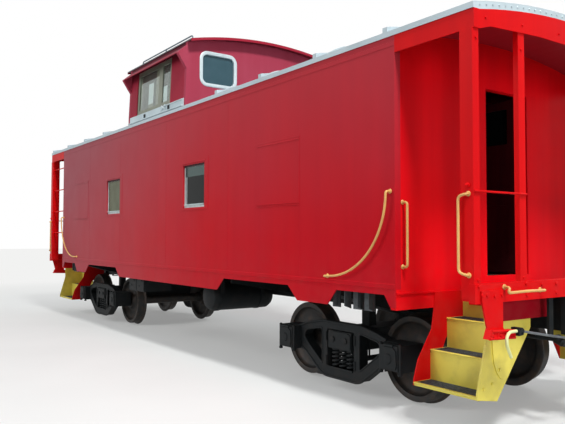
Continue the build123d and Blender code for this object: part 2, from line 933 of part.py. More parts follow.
def end_frame(end):
    front_x = sill_end_x - sheet_thickness
    parts = []
    for side in BOTH:
        narrow_y = body_half_width - sheet_thickness
        trimmed = corner_post_outer_y - narrow_y
        parts += [
            z_post(end, side, front_x, post_depth, corner_post_outer_y, corner_post_front_width,
                   corner_post_back_width, deck_top_z, fascia_bottom_z),
            z_post(end, side, front_x, post_depth, narrow_y, corner_post_front_width - trimmed,
                   corner_post_back_width - trimmed, fascia_bottom_z, eave_z - seat_gap),
            z_post(end, side, front_x, inner_post_depth, inner_post_outer_y, inner_post_front_width,
                   inner_post_back_width, end_sill_high_z, eave_z - seat_gap),
            bar("y", end * (front_x + end_rail_radius), end_rail_z, end_rail_radius,
                side * (inner_post_outer_y - inner_post_front_width), side * corner_post_outer_y),
        ]
    frame = joined(*parts)
    return frame - block(
        (end * (sill_end_x - end_sill_depth), end * sill_end_x),
        (-corner_post_outer_y - 1, corner_post_outer_y + 1),
        (deck_top_z - 1, end_sill_high_z),
    )


for end, name in ((1, "near"), (-1, "far")):
    nodes[f"fascia_{name}"] = end_fascia(end)
    nodes[f"platform_{name}"] = platform(end)
    nodes[f"steps_{name}"] = steps(end)
    nodes[f"end_posts_{name}"] = end_frame(end)
nodes["step_treads"] = joined(*treads(1), *treads(-1))


# Ladders at two opposite corners, between the body's corner and the end post
def ladder(end):
    side = end
    post_x = end * (sill_end_x - sheet_thickness - post_depth)
    rail_x = end * (body_half_length + ladder_rail_width)
    y = side * (body_half_width - ladder_inset)
    rail_y = (y - ladder_rail_half, y + ladder_rail_half)
    parts = [block((end * body_half_length, rail_x), rail_y, (ladder_rail_low_z, ladder_rail_high_z))]
    for z in ladder_rung_z:
        parts.append(bar("x", y, z, rung_radius, rail_x, post_x))
    return parts


nodes["ladders"] = joined(*ladder(1), *ladder(-1))


# Grab irons: the long curved ones on the sides, and the upright ones on walls and posts
def side_grab(end, side):
    wall_y = side * body_half_width
    rod_y = side * (body_half_width + grab_standoff)
    middle = [(end * (body_half_length - inward), rod_y, z) for inward, z in side_grab_route]
    points = [(middle[0][0], wall_y, middle[0][2]), *middle, (middle[-1][0], wall_y, middle[-1][2])]
    return rod(points, grab_radius)


def corner_grab(end, side):
    wall_x = end * body_half_length
    rod_x = end * (body_half_length + grab_standoff)
    y = side * (body_half_width - corner_grab_inset)
    low_z, high_z = corner_grab_z
    return rod([(wall_x, y, low_z), (rod_x, y, low_z), (rod_x, y, high_z), (wall_x, y, high_z)], grab_radius)


def post_grab(end, side):
    post_y = side * corner_post_outer_y
    rod_y = side * (body_half_width + post_grab_reach)
    foot_x = end * post_grab_foot_x
    rod_x = end * post_grab_rod_x
    return rod(
        [
            (foot_x, post_y, post_grab_feet_z[0]),
            (foot_x, rod_y, post_grab_feet_z[0]),
            (rod_x, rod_y, post_grab_bends_z[0]),
            (rod_x, rod_y, post_grab_bends_z[1]),
            (foot_x, rod_y, post_grab_feet_z[1]),
            (foot_x, post_y, post_grab_feet_z[1]),
        ],
        grab_radius,
    )


def sill_grab(end, side):
    face_x = end * sill_end_x
    rod_x = end * (sill_end_x + grab_standoff)
    inner_y, foot_y, drop_y = (side * y for y in sill_grab_y)
    low_z, high_z = sill_grab_z
    return rod(
        [
            (face_x, foot_y, high_z),
            (rod_x, foot_y, high_z),
            (rod_x, drop_y, low_z),
            (rod_x, inner_y, low_z),
            (face_x, inner_y, low_z),
        ],
        grab_radius,
    )


grabs = []
for end in BOTH:
    for side in BOTH:
        grabs += [side_grab(end, side), corner_grab(end, side), post_grab(end, side), sill_grab(end, side)]
nodes["grab_irons"] = joined(*grabs)


# Handrails on top of the cupola, along its two sides
def roof_handrail(side):
    y = side * (cupola_eave_half - handrail_inset_y)
    drop = cupola_rise * (y / cupola_eave_half) ** 2
    top_z = cupola_eave_z + cupola_rise - drop
    low_x = cupola_far_x + handrail_inset_x[0]
    high_x = cupola_near_x - handrail_inset_x[1]
    rail_z = top_z + handrail_height
    foot_z = top_z - cupola_roof_thickness / 2
    route = [(low_x, y, foot_z), (low_x, y, rail_z), (high_x, y, rail_z), (high_x, y, foot_z)]
    rail = rod(route, grab_radius)
    return rail - crown(cupola_eave_half, cupola_eave_z, cupola_rise, low_x - 50, high_x + 50)


nodes["cupola_handrails"] = joined(roof_handrail(-1), roof_handrail(1))


# Underframe: two centre-sill channels, bolsters, cross-bearers and draft pockets
def cross_member(foot_z, end_z):
    """The outline of a member across the car, deepest at the centre sill and shallower at its ends."""
    end_y = inner_half_width - 4
    half = [(centre_sill_half, foot_z), (end_y, end_z), (end_y, floor_bottom_z)]
    return half + [(-y, z) for y, z in reversed(half)]


def underframe():
    top_z = floor_top_z - floor_thickness
    sill_half_length = sill_end_x - end_sill_depth
    deck_low_z = deck_top_z - deck_thickness
    parts = []
    for side in BOTH:
        channel = [
            (centre_sill_half, centre_sill_low_z),
            (centre_sill_half, deck_low_z),
            (centre_sill_half - centre_sill_flange, deck_low_z),
            (centre_sill_half - centre_sill_flange, deck_low_z - sill_web),
            (centre_sill_half - sill_web, deck_low_z - sill_web),
            (centre_sill_half - sill_web, centre_sill_low_z + sill_web),
            (centre_sill_half - centre_sill_flange, centre_sill_low_z + sill_web),
            (centre_sill_half - centre_sill_flange, centre_sill_low_z),
        ]
        parts.append(prism("x", -sill_half_length, sill_half_length, mirrored_y(channel, side)))
    for end in BOTH:
        x = end * truck_x
        bolster = cross_member(bolster_foot_z, bolster_end_z)
        parts.append(prism("x", x - body_bolster_half, x + body_bolster_half, bolster))
        parts.append(bar("z", x, 0, centre_plate_radius, centre_plate_z, bolster_foot_z, 16))
        parts.append(cylinder("z", x, 0, kingpin_radius, kingpin_low_z, centre_plate_z))
        for side in BOTH:
            y = side * side_bearing_y
            parts.append(
                block(
                    (x - side_bearing_half_x, x + side_bearing_half_x),
                    (y - side_bearing_half_y, y + side_bearing_half_y),
                    (bolster_top_z + side_bearing_gap, side_bearing_top_z),
                )
            )
        striker = block(
            (end * (sill_end_x - end_sill_depth), end * sill_end_x),
            (-striker_half, striker_half),
            (striker_low_z, end_sill_low_z),
        )
        striker -= block(
            (end * (sill_end_x - 100), end * (sill_end_x + 10)),
            (-shank_half - 20, shank_half + 20),
            (coupler_z - shank_half, coupler_z + shank_half + 20),
        )
        parts.append(striker)
    for x in cross_bearer_x:
        parts.append(prism("x", x - bearer_half, x + bearer_half, cross_member(bearer_foot_z, bearer_end_z)))
    cover_y = (-centre_sill_half, centre_sill_half)
    parts.append(block((-body_half_length, body_half_length), cover_y, (deck_low_z, top_z)))
    return joined(*parts)


nodes["underframe"] = underframe()


# Couplers: shank and knuckle head
def coupler(end):
    """The head's outline runs from the shank round the guard arm, the pocket and the knuckle."""
    low_z = coupler_z - shank_half
    high_z = coupler_z + shank_half
    shank_x = (end * (sill_end_x - shank_length), end * (coupler_neck_x + 40))
    shank = block(shank_x, (-shank_half, shank_half), (low_z, high_z))
    head_outline = [
        (end * coupler_neck_x, -shank_half),
        (end * (coupler_neck_x + 100), -190),
        (end * (coupler_face_x - 60), -200),
        (end * (coupler_face_x - 20), -150),
        (end * (coupler_face_x - 120), -60),
        (end * (coupler_face_x - 120), 40),
        (end * (coupler_face_x - 90), 60),
        (end * coupler_face_x, 60),
        (end * coupler_face_x, 130),
        (end * (coupler_face_x - 40), 165),
        (end * (coupler_neck_x + 120), 175),
        (end * coupler_neck_x, shank_half),
    ]
    head = prism("z", coupler_z - coupler_head_half, coupler_z + coupler_head_half, head_outline)
    return joined(shank, head)


nodes["coupler_near"] = coupler(1)
nodes["coupler_far"] = coupler(-1)


# Uncoupling levers: a rod through a lug on the bracket's foot, from a hanging handle to below the coupler
def uncoupling_lever(end):
    side = -end
    x = end * (sill_end_x + bracket_foot_depth + lever_radius + 5)
    head_x = end * (coupler_neck_x + 90)
    route = [
        (head_x, side * lifter_y, lever_end_z),
        (x, side * 2 * shank_half, lever_end_z + lever_radius / 2),
        *[(x, y, z) for y, z in mirrored_y(from_side(lever_route), side)],
    ]
    lug = block(
        (end * (sill_end_x + bracket_depth), end * (sill_end_x + bracket_foot_depth + 28)),
        (side * (bracket_foot_y - lever_lug_width), side * bracket_foot_y),
        lever_lug_z,
    )
    lifter = block(
        (head_x - lever_radius, head_x + lever_radius),
        (side * (lifter_y - 2 * lever_radius), side * lifter_y),
        (lever_end_z - lever_radius / 2, coupler_z - coupler_head_half),
    )
    return joined(rod(route, lever_radius), lug, lifter)


nodes["uncoupling_levers"] = joined(uncoupling_lever(1), uncoupling_lever(-1))


# Hand brakes: wheel, gear case and staff on the inner end post
def hand_brake(end):
    side = end
    y = side * brake_wheel_y
    post_edge_y = side * (inner_post_outer_y - inner_post_front_width)
    front_x = sill_end_x - sheet_thickness
    wheel_x = end * (front_x + brake_wheel_standoff)
    staff_x = end * (front_x - post_flange / 2)
    parts = [
        block(
            (end * (front_x - post_flange), end * (front_x + brake_case_depth)),
            (post_edge_y, y - side * 60),
            brake_case_levels,
        ),
        bar("z", staff_x, y - side * 20, brake_staff_radius, end_sill_high_z, brake_case_levels[0]),
        bar("x", y, brake_wheel_z, brake_shaft_radius, end * front_x, wheel_x + end * brake_wheel_half),
        ring_prism(
            "x",
            y,
            brake_wheel_z,
            brake_wheel_outer,
            brake_wheel_inner,
            wheel_x - brake_wheel_half,
            wheel_x + brake_wheel_half,
            24,
        ),
    ]
    for angle in range(0, 180, 60):
        spoke = Rot(angle, 0, 0) * Box(10, 2 * brake_wheel_inner + 4, 20)
        parts.append(Pos(wheel_x, y, brake_wheel_z) * spoke)
    return joined(*parts)


nodes["hand_brakes"] = joined(hand_brake(1), hand_brake(-1))


# Air-brake reservoir, brake cylinder and battery box, hung below the floor
reservoir = bar("y", tank_x, tank_z, tank_radius, tank_low_y, tank_high_y, 24)
strap_x = tank_x - tank_radius
strap_width = (strap_x - strap_half_x, strap_x + strap_half_x)
reservoir_straps = [
    block(strap_width, (y - strap_half_y, y + strap_half_y), (tank_z, floor_bottom_z)) for y in strap_y
]
brake_cylinder = bar(
    "x",
    brake_cylinder_y,
    brake_cylinder_z,
    brake_cylinder_radius,
    -brake_cylinder_half,
    brake_cylinder_half,
    16,
)
cylinder_bracket = block(
    (-cylinder_bracket_half, cylinder_bracket_half),
    (brake_cylinder_y - cylinder_bracket_half, brake_cylinder_y + cylinder_bracket_half),
    (cylinder_bracket_low_z, floor_bottom_z),
)
nodes["air_brake_gear"] = joined(reservoir, *reservoir_straps, brake_cylinder, cylinder_bracket)
nodes["battery_box"] = block(battery_box_x, battery_box_y, (battery_box_low_z, floor_bottom_z))


# Trucks
def half_turned(points):
    """The outline's other half, mirrored about the truck's centre."""
    return points + [(-x, z) for x, z in reversed(points)]


def side_frame(side):
    outline = half_turned(list(side_frame_edge))
    inner = side_frame_y - side_frame_half
    outer = side_frame_y + side_frame_half
    frame = prism("y", side * inner, side * outer, outline)
    window = block(
        (-frame_window_half, frame_window_half),
        (side * (inner - 1), side * (outer + 1)),
        (frame_window_low_z, frame_window_high_z),
    )
    frame -= window
    for hand in BOTH:
        hole = [(hand * x, z) for x, z in side_frame_hole]
        frame -= prism("y", side * (inner - 1), side * (outer + 1), hole)
        x = hand * axle_offset
        box_y = (side * journal_box_inner_y, side * journal_box_outer_y)
        lid_y = (side * journal_box_outer_y, side * journal_lid_y)
        frame += block((x - journal_box_half, x + journal_box_half), box_y, journal_box_z)
        frame += block((x - journal_lid_half, x + journal_lid_half), lid_y, journal_lid_z)
        frame -= cylinder(
            "y",
            x,
            axle_z,
            journal_radius + fit_clearance,
            side * (journal_box_inner_y - 1),
            side * (journal_end_y + 6),
        )
    return frame


def truck_bolster():
    wide = (-truck_bolster_half, truck_bolster_half)
    arms = block(wide, (-bolster_arm_half_y, bolster_arm_half_y), (spring_top_z, bolster_arm_top_z))
    middle = block(wide, (-bolster_middle_half_y, bolster_middle_half_y), (spring_top_z, bolster_top_z))
    plate = bar("z", 0, 0, centre_plate_radius + 30, bolster_top_z, centre_plate_z, 16)
    bolster = joined(arms, middle, plate)
    bolster -= cylinder("z", 0, 0, kingpin_radius + fit_clearance, 540, centre_plate_z + 1)
    return bolster


def truck_springs():
    return [
        bar("z", x, side * side_frame_y, spring_radius, frame_window_low_z, spring_top_z, 12)
        for side in BOTH
        for x in spring_x
    ]


def brake_shoe(hand, side):
    """A shoe of short flats just clear of the tread, on the wheel's side towards the truck's middle."""
    inner = (tread_radius + brake_shoe_gap) / math.cos(math.radians(5))
    outer = inner + brake_shoe_thickness
    turns = [math.radians(angle) for angle in range(165, 206, 10)]
    outline = [(inner, a) for a in turns] + [(outer, a) for a in reversed(turns)]
    wheel_x = hand * axle_offset
    points = [(wheel_x + hand * r * math.cos(a), axle_z + r * math.sin(a)) for r, a in outline]
    y = side * brake_shoe_y
    return prism("y", y - brake_shoe_half, y + brake_shoe_half, points)


def brake_rigging():
    parts = []
    beam_end_y = side_frame_y - side_frame_half
    for hand in BOTH:
        beam_x = hand * brake_beam_x
        parts.append(bar("y", beam_x, brake_beam_z, brake_beam_radius, -beam_end_y, beam_end_y))
        for side in BOTH:
            y = side * brake_shoe_y
            parts.append(brake_shoe(hand, side))
            arm_z = (brake_beam_z - brake_arm_half_z, brake_beam_z + brake_arm_half_z)
            parts.append(block((beam_x, hand * brake_arm_end_x), (y - 20, y + 20), arm_z))
    return joined(*parts)


def many_sided_wheel(side):
    """A wheel in flats: a flange that slopes to the tread, and a hollow in its outer face."""
    root_y = side * (flange_back_y + flange_width)
    flange = cone_frustum(axle_z, tread_radius + 2, side * flange_back_y, root_y)
    tread = cone_frustum(tread_radius + 2, tread_radius - 4, root_y, side * wheel_outer_y)
    low_y, high_y = sorted((side * wheel_plate_y, side * (wheel_outer_y + 1)))
    hollow = ring_prism("y", 0, 0, wheel_rim_inner, wheel_hub_radius, low_y, high_y, wheel_sides // 2)
    return joined(flange, tread) - hollow


def cone_frustum(first_radius, last_radius, first_y, last_y):
    """A many-sided taper about Y."""
    turns = [2 * math.pi * step / wheel_sides for step in range(wheel_sides)]
    rings = [
        Wire.make_polygon([(radius * math.cos(a), y, radius * math.sin(a)) for a in turns])
        for radius, y in ((first_radius, first_y), (last_radius, last_y))
    ]
    return Solid.make_loft(rings, ruled=True)


def wheelset():
    """Round axle and journals, and both wheels, about Y."""
    axle = cylinder("y", 0, 0, axle_radius, -flange_back_y, flange_back_y)
    journals = cylinder("y", 0, 0, journal_radius, -journal_end_y, journal_end_y)
    return joined(axle, journals, many_sided_wheel(1), many_sided_wheel(-1))


def placed(shape, x, z=0):
    return Pos(x, 0, z) * shape


for end, name in ((1, "near"), (-1, "far")):
    x = end * truck_x
    nodes[f"{name}_truck_frames"] = placed(joined(side_frame(-1), side_frame(1)), x)
    nodes[f"{name}_truck_bolster"] = placed(truck_bolster(), x)
    nodes[f"{name}_truck_springs"] = placed(joined(*truck_springs()), x)
    nodes[f"{name}_truck_brakes"] = placed(brake_rigging(), x)
    for place, outward in (("outer", 1), ("inner", -1)):
        nodes[f"{name}_{place}_wheelset"] = placed(wheelset(), x + end * outward * axle_offset, axle_z)

os.makedirs("parts", exist_ok=True)
for name, shape in nodes.items():
    export_step(shape, f"parts/{name}.step")
print(len(nodes), "nodes written")
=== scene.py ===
import math

import bmesh
import bpy
import numpy as np
from mathutils import Matrix, Vector


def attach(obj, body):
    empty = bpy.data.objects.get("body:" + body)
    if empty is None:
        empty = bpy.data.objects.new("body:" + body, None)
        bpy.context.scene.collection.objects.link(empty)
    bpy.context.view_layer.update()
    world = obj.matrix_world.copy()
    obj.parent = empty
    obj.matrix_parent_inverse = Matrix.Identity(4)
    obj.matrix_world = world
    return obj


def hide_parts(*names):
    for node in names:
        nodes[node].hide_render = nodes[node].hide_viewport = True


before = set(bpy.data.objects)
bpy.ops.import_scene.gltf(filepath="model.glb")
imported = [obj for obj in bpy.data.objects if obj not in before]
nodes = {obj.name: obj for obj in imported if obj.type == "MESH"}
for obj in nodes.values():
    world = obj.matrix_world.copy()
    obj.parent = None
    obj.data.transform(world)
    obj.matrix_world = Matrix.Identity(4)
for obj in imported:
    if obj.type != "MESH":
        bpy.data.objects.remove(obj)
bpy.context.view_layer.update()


# Camera, light and floor
# The camera stands where the photograph was taken, at eye height beside the near end. A small high lamp
# and a low broad one light that end, two wide lamps light the sides, and the pale floor fades to white.
camera_focal_px = 652.0
photo_width_px = 565
sensor_width_mm = 36
camera_yaw = math.radians(35.264)
camera_tilt = math.radians(2.302)
camera_roll = math.radians(-0.127)
camera_place = (8.944, -5.584, 1.620)
view_direction = Vector((
    -math.cos(camera_yaw) * math.cos(camera_tilt),
    math.sin(camera_yaw) * math.cos(camera_tilt),
    math.sin(camera_tilt),
))
level_view = view_direction.to_track_quat("-Z", "Y")
camera_data = bpy.data.cameras.new("camera")
camera_data.sensor_width = sensor_width_mm
camera_data.lens = sensor_width_mm * camera_focal_px / photo_width_px
camera = bpy.data.objects.new("camera", camera_data)
bpy.context.scene.collection.objects.link(camera)
camera.rotation_mode = "QUATERNION"
camera.rotation_quaternion = Matrix.Rotation(camera_roll, 3, view_direction).to_quaternion() @ level_view
camera.location = camera_place
bpy.context.scene.camera = camera
bpy.context.scene.view_settings.view_transform = "Standard"


def soft_lamp(name, place, target, size, power):
    """A square area lamp, size metres wide and power watts strong, that faces its target."""
    data = bpy.data.lights.new(name, "AREA")
    data.size = size
    data.energy = power
    lamp = bpy.data.objects.new(name, data)
    lamp.location = place
    lamp.rotation_mode = "QUATERNION"
    lamp.rotation_quaternion = (Vector(target) - Vector(place)).to_track_quat("-Z", "Y")
    bpy.context.scene.collection.objects.link(lamp)


soft_lamp("key_lamp", (13.0, -3.6, 17.0), (4.8, -0.5, 1.2), size=2.6, power=3300)
soft_lamp("end_lamp", (18, -3, 3.2), (4.8, 0, 1.4), size=5, power=560)
soft_lamp("side_lamp", (-4, -20, 12), (0, 0, 1.5), size=12, power=2000)
soft_lamp("back_lamp", (-4, 18, 12), (0, 0, 2), size=12, power=1400)


def linear(code):
    """An sRGB hex colour as linear RGBA: the standard two-part sRGB curve, undone."""
    channels = [int(code[i:i + 2], 16) / 255 for i in (1, 3, 5)]
    return tuple(c / 12.92 if c <= 0.04045 else ((c + 0.055) / 1.055) ** 2.4 for c in channels) + (1.0,)


# The sockets of a colour Mix node: how much of the second colour shows, and the two colours.
share, first_colour, second_colour = 0, 6, 7


def add(tree, kind, inputs, **settings):
    """One shader node: settings are its properties; an input is a value, a socket or a node's live output."""
    made = tree.nodes.new("ShaderNode" + kind)
    for key, value in settings.items():
        setattr(made, key, value)
    for key, value in inputs.items():
        if isinstance(value, bpy.types.Node):
            value = next(socket for socket in value.outputs if socket.enabled)
        if isinstance(value, bpy.types.NodeSocket):
            tree.links.new(value, made.inputs[key])
        else:
            made.inputs[key].default_value = value
    return made


def new_material(name):
    """An empty node material, its node tree and its Object coordinates, which are metres."""
    material = bpy.data.materials.new(name)
    material.use_nodes = True
    tree = material.node_tree
    tree.nodes.clear()
    return material, tree, add(tree, "TexCoord", {}).outputs["Object"]


def mottled(tree, coords, waves, detail, spread, first, second, most=1.0):
    """The first colour, and most of the second where noise passes spread; a wave is 1000 / waves mm wide."""
    noise = add(tree, "TexNoise", {"Vector": coords, "Scale": waves, "Detail": detail})
    blend = add(tree, "MapRange", {"Value": noise, "From Min": spread[0], "From Max": spread[1],
                                   "To Max": most})
    return add(tree, "Mix", {share: blend, first_colour: first, second_colour: second}, data_type="RGBA")


def background_rays(tree):
    """1 for the rays that show the background, straight, mirrored or through glass: the largest of three."""
    kinds = add(tree, "LightPath", {}).outputs
    rays = kinds["Is Camera Ray"]
    for kind in ("Is Glossy Ray", "Is Transmission Ray"):
        rays = add(tree, "Math", {0: rays, 1: kinds[kind]}, operation="MAXIMUM")
    return rays


world = bpy.data.worlds.new("studio")
bpy.context.scene.world = world
world.use_nodes = True
sky_tree = world.node_tree
sky_tree.nodes.clear()
soft_sky = add(sky_tree, "Background", {"Color": linear("#dfe8ee"), "Strength": 0.42})
white_sky = add(sky_tree, "Background", {"Color": linear("#ffffff"), "Strength": 1.0})
sky_mix = add(sky_tree, "MixShader", {0: background_rays(sky_tree), 1: soft_sky, 2: white_sky})
add(sky_tree, "OutputWorld", {"Surface": sky_mix})

# Matt painted board: an even pale grey in clouds 2.5 m wide, which keeps the car's soft shadow. A near
# white that only background rays see takes 0.3 of it up to fade_start metres out, and all from fade_end.
fade_start, fade_end = 6.5, 16
floor_material, tree, coords = new_material("studio_floor")
floor_shade = mottled(tree, coords, 0.4, 2, (0.3, 0.7), linear("#dcdddb"), linear("#e4e5e3"))
near_floor = add(tree, "BsdfPrincipled", {"Base Color": floor_shade, "Roughness": 0.8})
far_floor = add(tree, "Emission", {"Color": linear("#f2f2f1"), "Strength": background_rays(tree)})
distance = add(tree, "VectorMath", {0: coords}, operation="LENGTH")
far_share = add(tree, "MapRange", {"Value": distance, "From Min": fade_start, "From Max": fade_end,
                                   "To Min": 0.3, "To Max": 1.0})
floor_shader = add(tree, "MixShader", {0: far_share, 1: near_floor, 2: far_floor})
add(tree, "OutputMaterial", {"Surface": floor_shader})
floor_half = 90
floor_drop = 0.001
bpy.ops.mesh.primitive_plane_add(size=2 * floor_half, location=(0, 0, 0))
floor = bpy.context.object
floor.name = "studio_floor"
floor.data.transform(Matrix.Translation((0, 0, -floor_drop)))
floor.data.materials.append(floor_material)


# Red enamel on the steel body
# Welded steel sheets, brushed and rolled with red enamel: the sheets are slightly wavy between their
# posts, the paint has chalked to pink higher up and towards the far end, and dust lies near the sill.
red_gloss = 0.06


def red_enamel(name, lit, faded, roughness, wave_depth, chalked=0.0, top_shade=0.0):
    """Two reds in clouds 1.4 m wide with darker streaks; chalked is how far pink goes; the last share is a
    painted shade at the top.
    """
    material, tree, coords = new_material(name)
    place = add(tree, "SeparateXYZ", {"Vector": coords}).outputs
    paint = mottled(tree, coords, 0.7, 3, (0.35, 0.68), linear(lit), linear(faded))
    # Rain streaks, 170 mm wide and 2 m tall, which is broader than real ones so that they show
    upright = add(tree, "Mapping", {"Vector": coords, "Scale": (6, 6, 0.5)})
    paint = mottled(tree, upright, 1.0, 4, (0.35, 0.75), paint, linear("#8a0a1a"), most=0.18)
    if chalked:
        upper = add(tree, "MapRange", {"Value": place["Z"], "From Min": 1.6, "From Max": 3.4, "To Max": 0.6})
        farther = add(tree, "MapRange", {"Value": place["X"], "From Min": 1.2, "From Max": -4.2})
        both = add(tree, "Math", {0: farther, 1: upper}, operation="ADD")
        pink_share = add(tree, "Math", {0: both, 1: chalked}, operation="MULTIPLY", use_clamp=True)
        paint = add(tree, "Mix", {share: pink_share, first_colour: paint, second_colour: linear("#994751")},
                    data_type="RGBA")
    # Painted shade: a dark maroon band from 4.22 m to 4.34 m up, under the cupola's roof and visor
    if top_shade:
        top_shade_share = add(tree, "MapRange", {"Value": place["Z"], "From Min": 4.22, "From Max": 4.34,
                                            "To Max": top_shade})
        paint = add(tree, "Mix", {share: top_shade_share, first_colour: paint, second_colour: linear("#3c1c26")},
                    data_type="RGBA")
    # Dust thrown up from below: real dust is finer, and is drawn in grains of 110 mm so that it shows
    low_down = add(tree, "MapRange", {"Value": place["Z"], "From Min": 1.7, "From Max": 0.9})
    grains = add(tree, "TexNoise", {"Vector": coords, "Scale": 9, "Detail": 5})
    grain_share = add(tree, "MapRange", {"Value": grains, "From Min": 0.4, "From Max": 0.8, "To Max": 0.12})
    dust_share = add(tree, "Math", {0: low_down, 1: grain_share}, operation="MULTIPLY")
    paint = add(tree, "Mix", {share: dust_share, first_colour: paint, second_colour: linear("#8d5a50")},
                data_type="RGBA")
    worn = add(tree, "TexNoise", {"Vector": coords, "Scale": 3, "Detail": 4})
    gloss = add(tree, "MapRange", {"Value": worn, "To Min": roughness - 0.06, "To Max": roughness + 0.1})
    # Sheet that stands in and out over 600 mm, and brush marks 5 mm wide
    dents = add(tree, "TexNoise", {"Vector": coords, "Scale": 1.6, "Detail": 1})
    sheet_wave = add(tree, "Bump", {"Height": dents, "Distance": wave_depth, "Strength": 1.0})
    hairs = add(tree, "TexNoise", {"Vector": coords, "Scale": 220, "Detail": 2})
    brush_marks = add(tree, "Bump", {"Height": hairs, "Distance": 0.0004, "Strength": 0.25,
                                     "Normal": sheet_wave})
    shader = add(tree, "BsdfPrincipled", {"Base Color": paint, "Roughness": gloss, "Normal": brush_marks,
                                          "Specular IOR Level": red_gloss})
    add(tree, "OutputMaterial", {"Surface": shader})
    return material


def finish_nodes(material, names):
    """Gives one material to CAD nodes."""
    for name in names:
        nodes[name].data.materials.clear()
        nodes[name].data.materials.append(material)


# The sides: deep crimson that dulls to a chalky pink
side_red = red_enamel("red_enamel_sides", "#be0a18", "#bc1423", 0.42, 0.010, chalked=0.72)
# Sills, posts and brackets: the brightest red, nearly scarlet
trim_red = red_enamel("red_enamel_trim", "#d60a0c", "#ce0c12", 0.38, 0.003)
# The end walls: a fuller, brighter red than the sides, which is painted sunlight on the ends
sunlit_wall_red = red_enamel("red_enamel_end_walls", "#ea0812", "#e00a18", 0.42, 0.006)
# The cupola: weathered rose, its sides darkened under its roof by a band of painted shade
cupola_red = red_enamel("red_enamel_cupola_ends", "#a1384c", "#aa4659", 0.5, 0.003)
cupola_side_red = red_enamel("red_enamel_cupola_sides", "#9a2438", "#942c3e", 0.5, 0.003, top_shade=0.75)
# The doors: a red so dark that it is nearly black, which is painted shade in the unlit doorways
door_shade_red = red_enamel("painted_shade_door_enamel", "#2a060a", "#340a10", 0.45, 0.002)
finish_nodes(side_red, ["side_wall_left", "side_wall_right"])
finish_nodes(sunlit_wall_red, ["end_wall_near", "end_wall_far"])
finish_nodes(door_shade_red, ["near_door", "far_door"])
finish_nodes(cupola_red, ["cupola_end_near", "cupola_end_far"])
finish_nodes(cupola_side_red, ["cupola_side_left", "cupola_side_right"])
finish_nodes(trim_red, [
    "fascia_near", "fascia_far", "platform_near", "platform_far", "end_posts_near", "end_posts_far",
])


# Edges of the rolled sections
# Sills, posts, plates and castings are rolled, pressed or cast steel, whose corners are never knife sharp.
# Each gets a narrow bevel that catches the light as a fine line.
def round_edges(names, width):
    """A two-step bevel of the width, in metres, along edges that turn by more than 40 degrees."""
    for name in names:
        bevel = nodes[name].modifiers.new("rounded_edges", "BEVEL")
        bevel.width = width
        bevel.segments = 2
        bevel.limit_method = "ANGLE"
        bevel.angle_limit = math.radians(40)


round_edges([
    "platform_near", "platform_far", "end_posts_near", "end_posts_far", "steps_near", "steps_far",
], 0.002)
round_edges(["end_wall_near", "end_wall_far", "side_wall_left", "side_wall_right"], 0.0025)
round_edges(["cupola_end_near", "cupola_end_far", "cupola_side_left", "cupola_side_right"], 0.003)


# Sheet seams on the sides
# Lapped and welded seams in the same enamelled steel: a lip along the floor line and another below the
# eave, upright weld beads where the sheets meet, and raised borders round the blank plates and windows.
def piece(name, shapes, material, body, smooth=35):
    """One object from (points, faces) shapes in metres; edges under smooth degrees are shaded round."""
    counts = [len(points) for points, faces in shapes]
    firsts = np.cumsum([0, *counts[:-1]])
    points = np.concatenate([points for points, faces in shapes])
    faces = [(np.array(face) + first).tolist() for first, (_, part) in zip(firsts, shapes) for face in part]
    mesh = bpy.data.meshes.new(name)
    mesh.from_pydata(points.tolist(), [], faces)
    outward = bmesh.new()
    outward.from_mesh(mesh)
    bmesh.ops.recalc_face_normals(outward, faces=outward.faces)
    outward.to_mesh(mesh)
    outward.free()
    mesh.materials.append(material)
    mesh.shade_smooth()
    mesh.set_sharp_from_angle(angle=math.radians(smooth))
    made = bpy.data.objects.new(name, mesh)
    bpy.context.scene.collection.objects.link(made)
    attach(made, body)
    return made


def loft(rings, closed=False):
    """Rings of equal count, as an array (ring, point, xyz), joined in order by quads, with flat ends."""
    rings = np.asarray(rings, dtype=float)
    turns, count = rings.shape[:2]
    index = np.arange(turns * count).reshape(turns, count)
    beside = np.roll(index, -1, axis=1)
    low = index if closed else index[:-1]
    low_beside = beside if closed else beside[:-1]
    high = np.roll(index, -1, axis=0)[:len(low)]
    high_beside = np.roll(beside, -1, axis=0)[:len(low)]
    faces = np.stack([low, low_beside, high_beside, high], axis=-1).reshape(-1, 4).tolist()
    if not closed:
        faces += [index[0, ::-1].tolist(), index[-1].tolist()]
    return rings.reshape(-1, 3), faces


def rounded_route(route, bend):
    """The route with each corner cut at bend from it and eased by P(t) = (1-t)^2 A + 2t(1-t) B + t^2 C."""
    route = np.asarray(route, dtype=float)
    before, corner, after = route[:-2], route[1:-1], route[2:]
    back = np.linalg.norm(before - corner, axis=1, keepdims=True)
    ahead = np.linalg.norm(after - corner, axis=1, keepdims=True)
    cut = np.minimum(bend, 0.48 * np.minimum(back, ahead))
    start = (corner + (before - corner) / back * cut)[:, None]
    end = (corner + (after - corner) / ahead * cut)[:, None]
    t = np.linspace(0, 1, 6)[None, :, None]
    eased = start * (1 - t)**2 + corner[:, None] * 2 * t * (1 - t) + end * t**2
    return np.concatenate([route[:1], eased.reshape(-1, 3), route[-1:]])


def across(direction):
    """Two unit vectors square to a direction and to each other."""
    direction = np.asarray(direction, dtype=float) / np.linalg.norm(direction)
    helper = (0, 0, 1) if abs(direction[2]) < 0.9 else (1, 0, 0)
    first = np.cross(direction, helper)
    first /= np.linalg.norm(first)
    return first, np.cross(direction, first)


def circle(first, second, steps):
    """Unit circle points first cos a + second sin a, for a from 0 to 2 pi in steps."""
    turn = np.linspace(0, 2 * math.pi, steps, endpoint=False)[:, None]
    return first * np.cos(turn) + second * np.sin(turn)


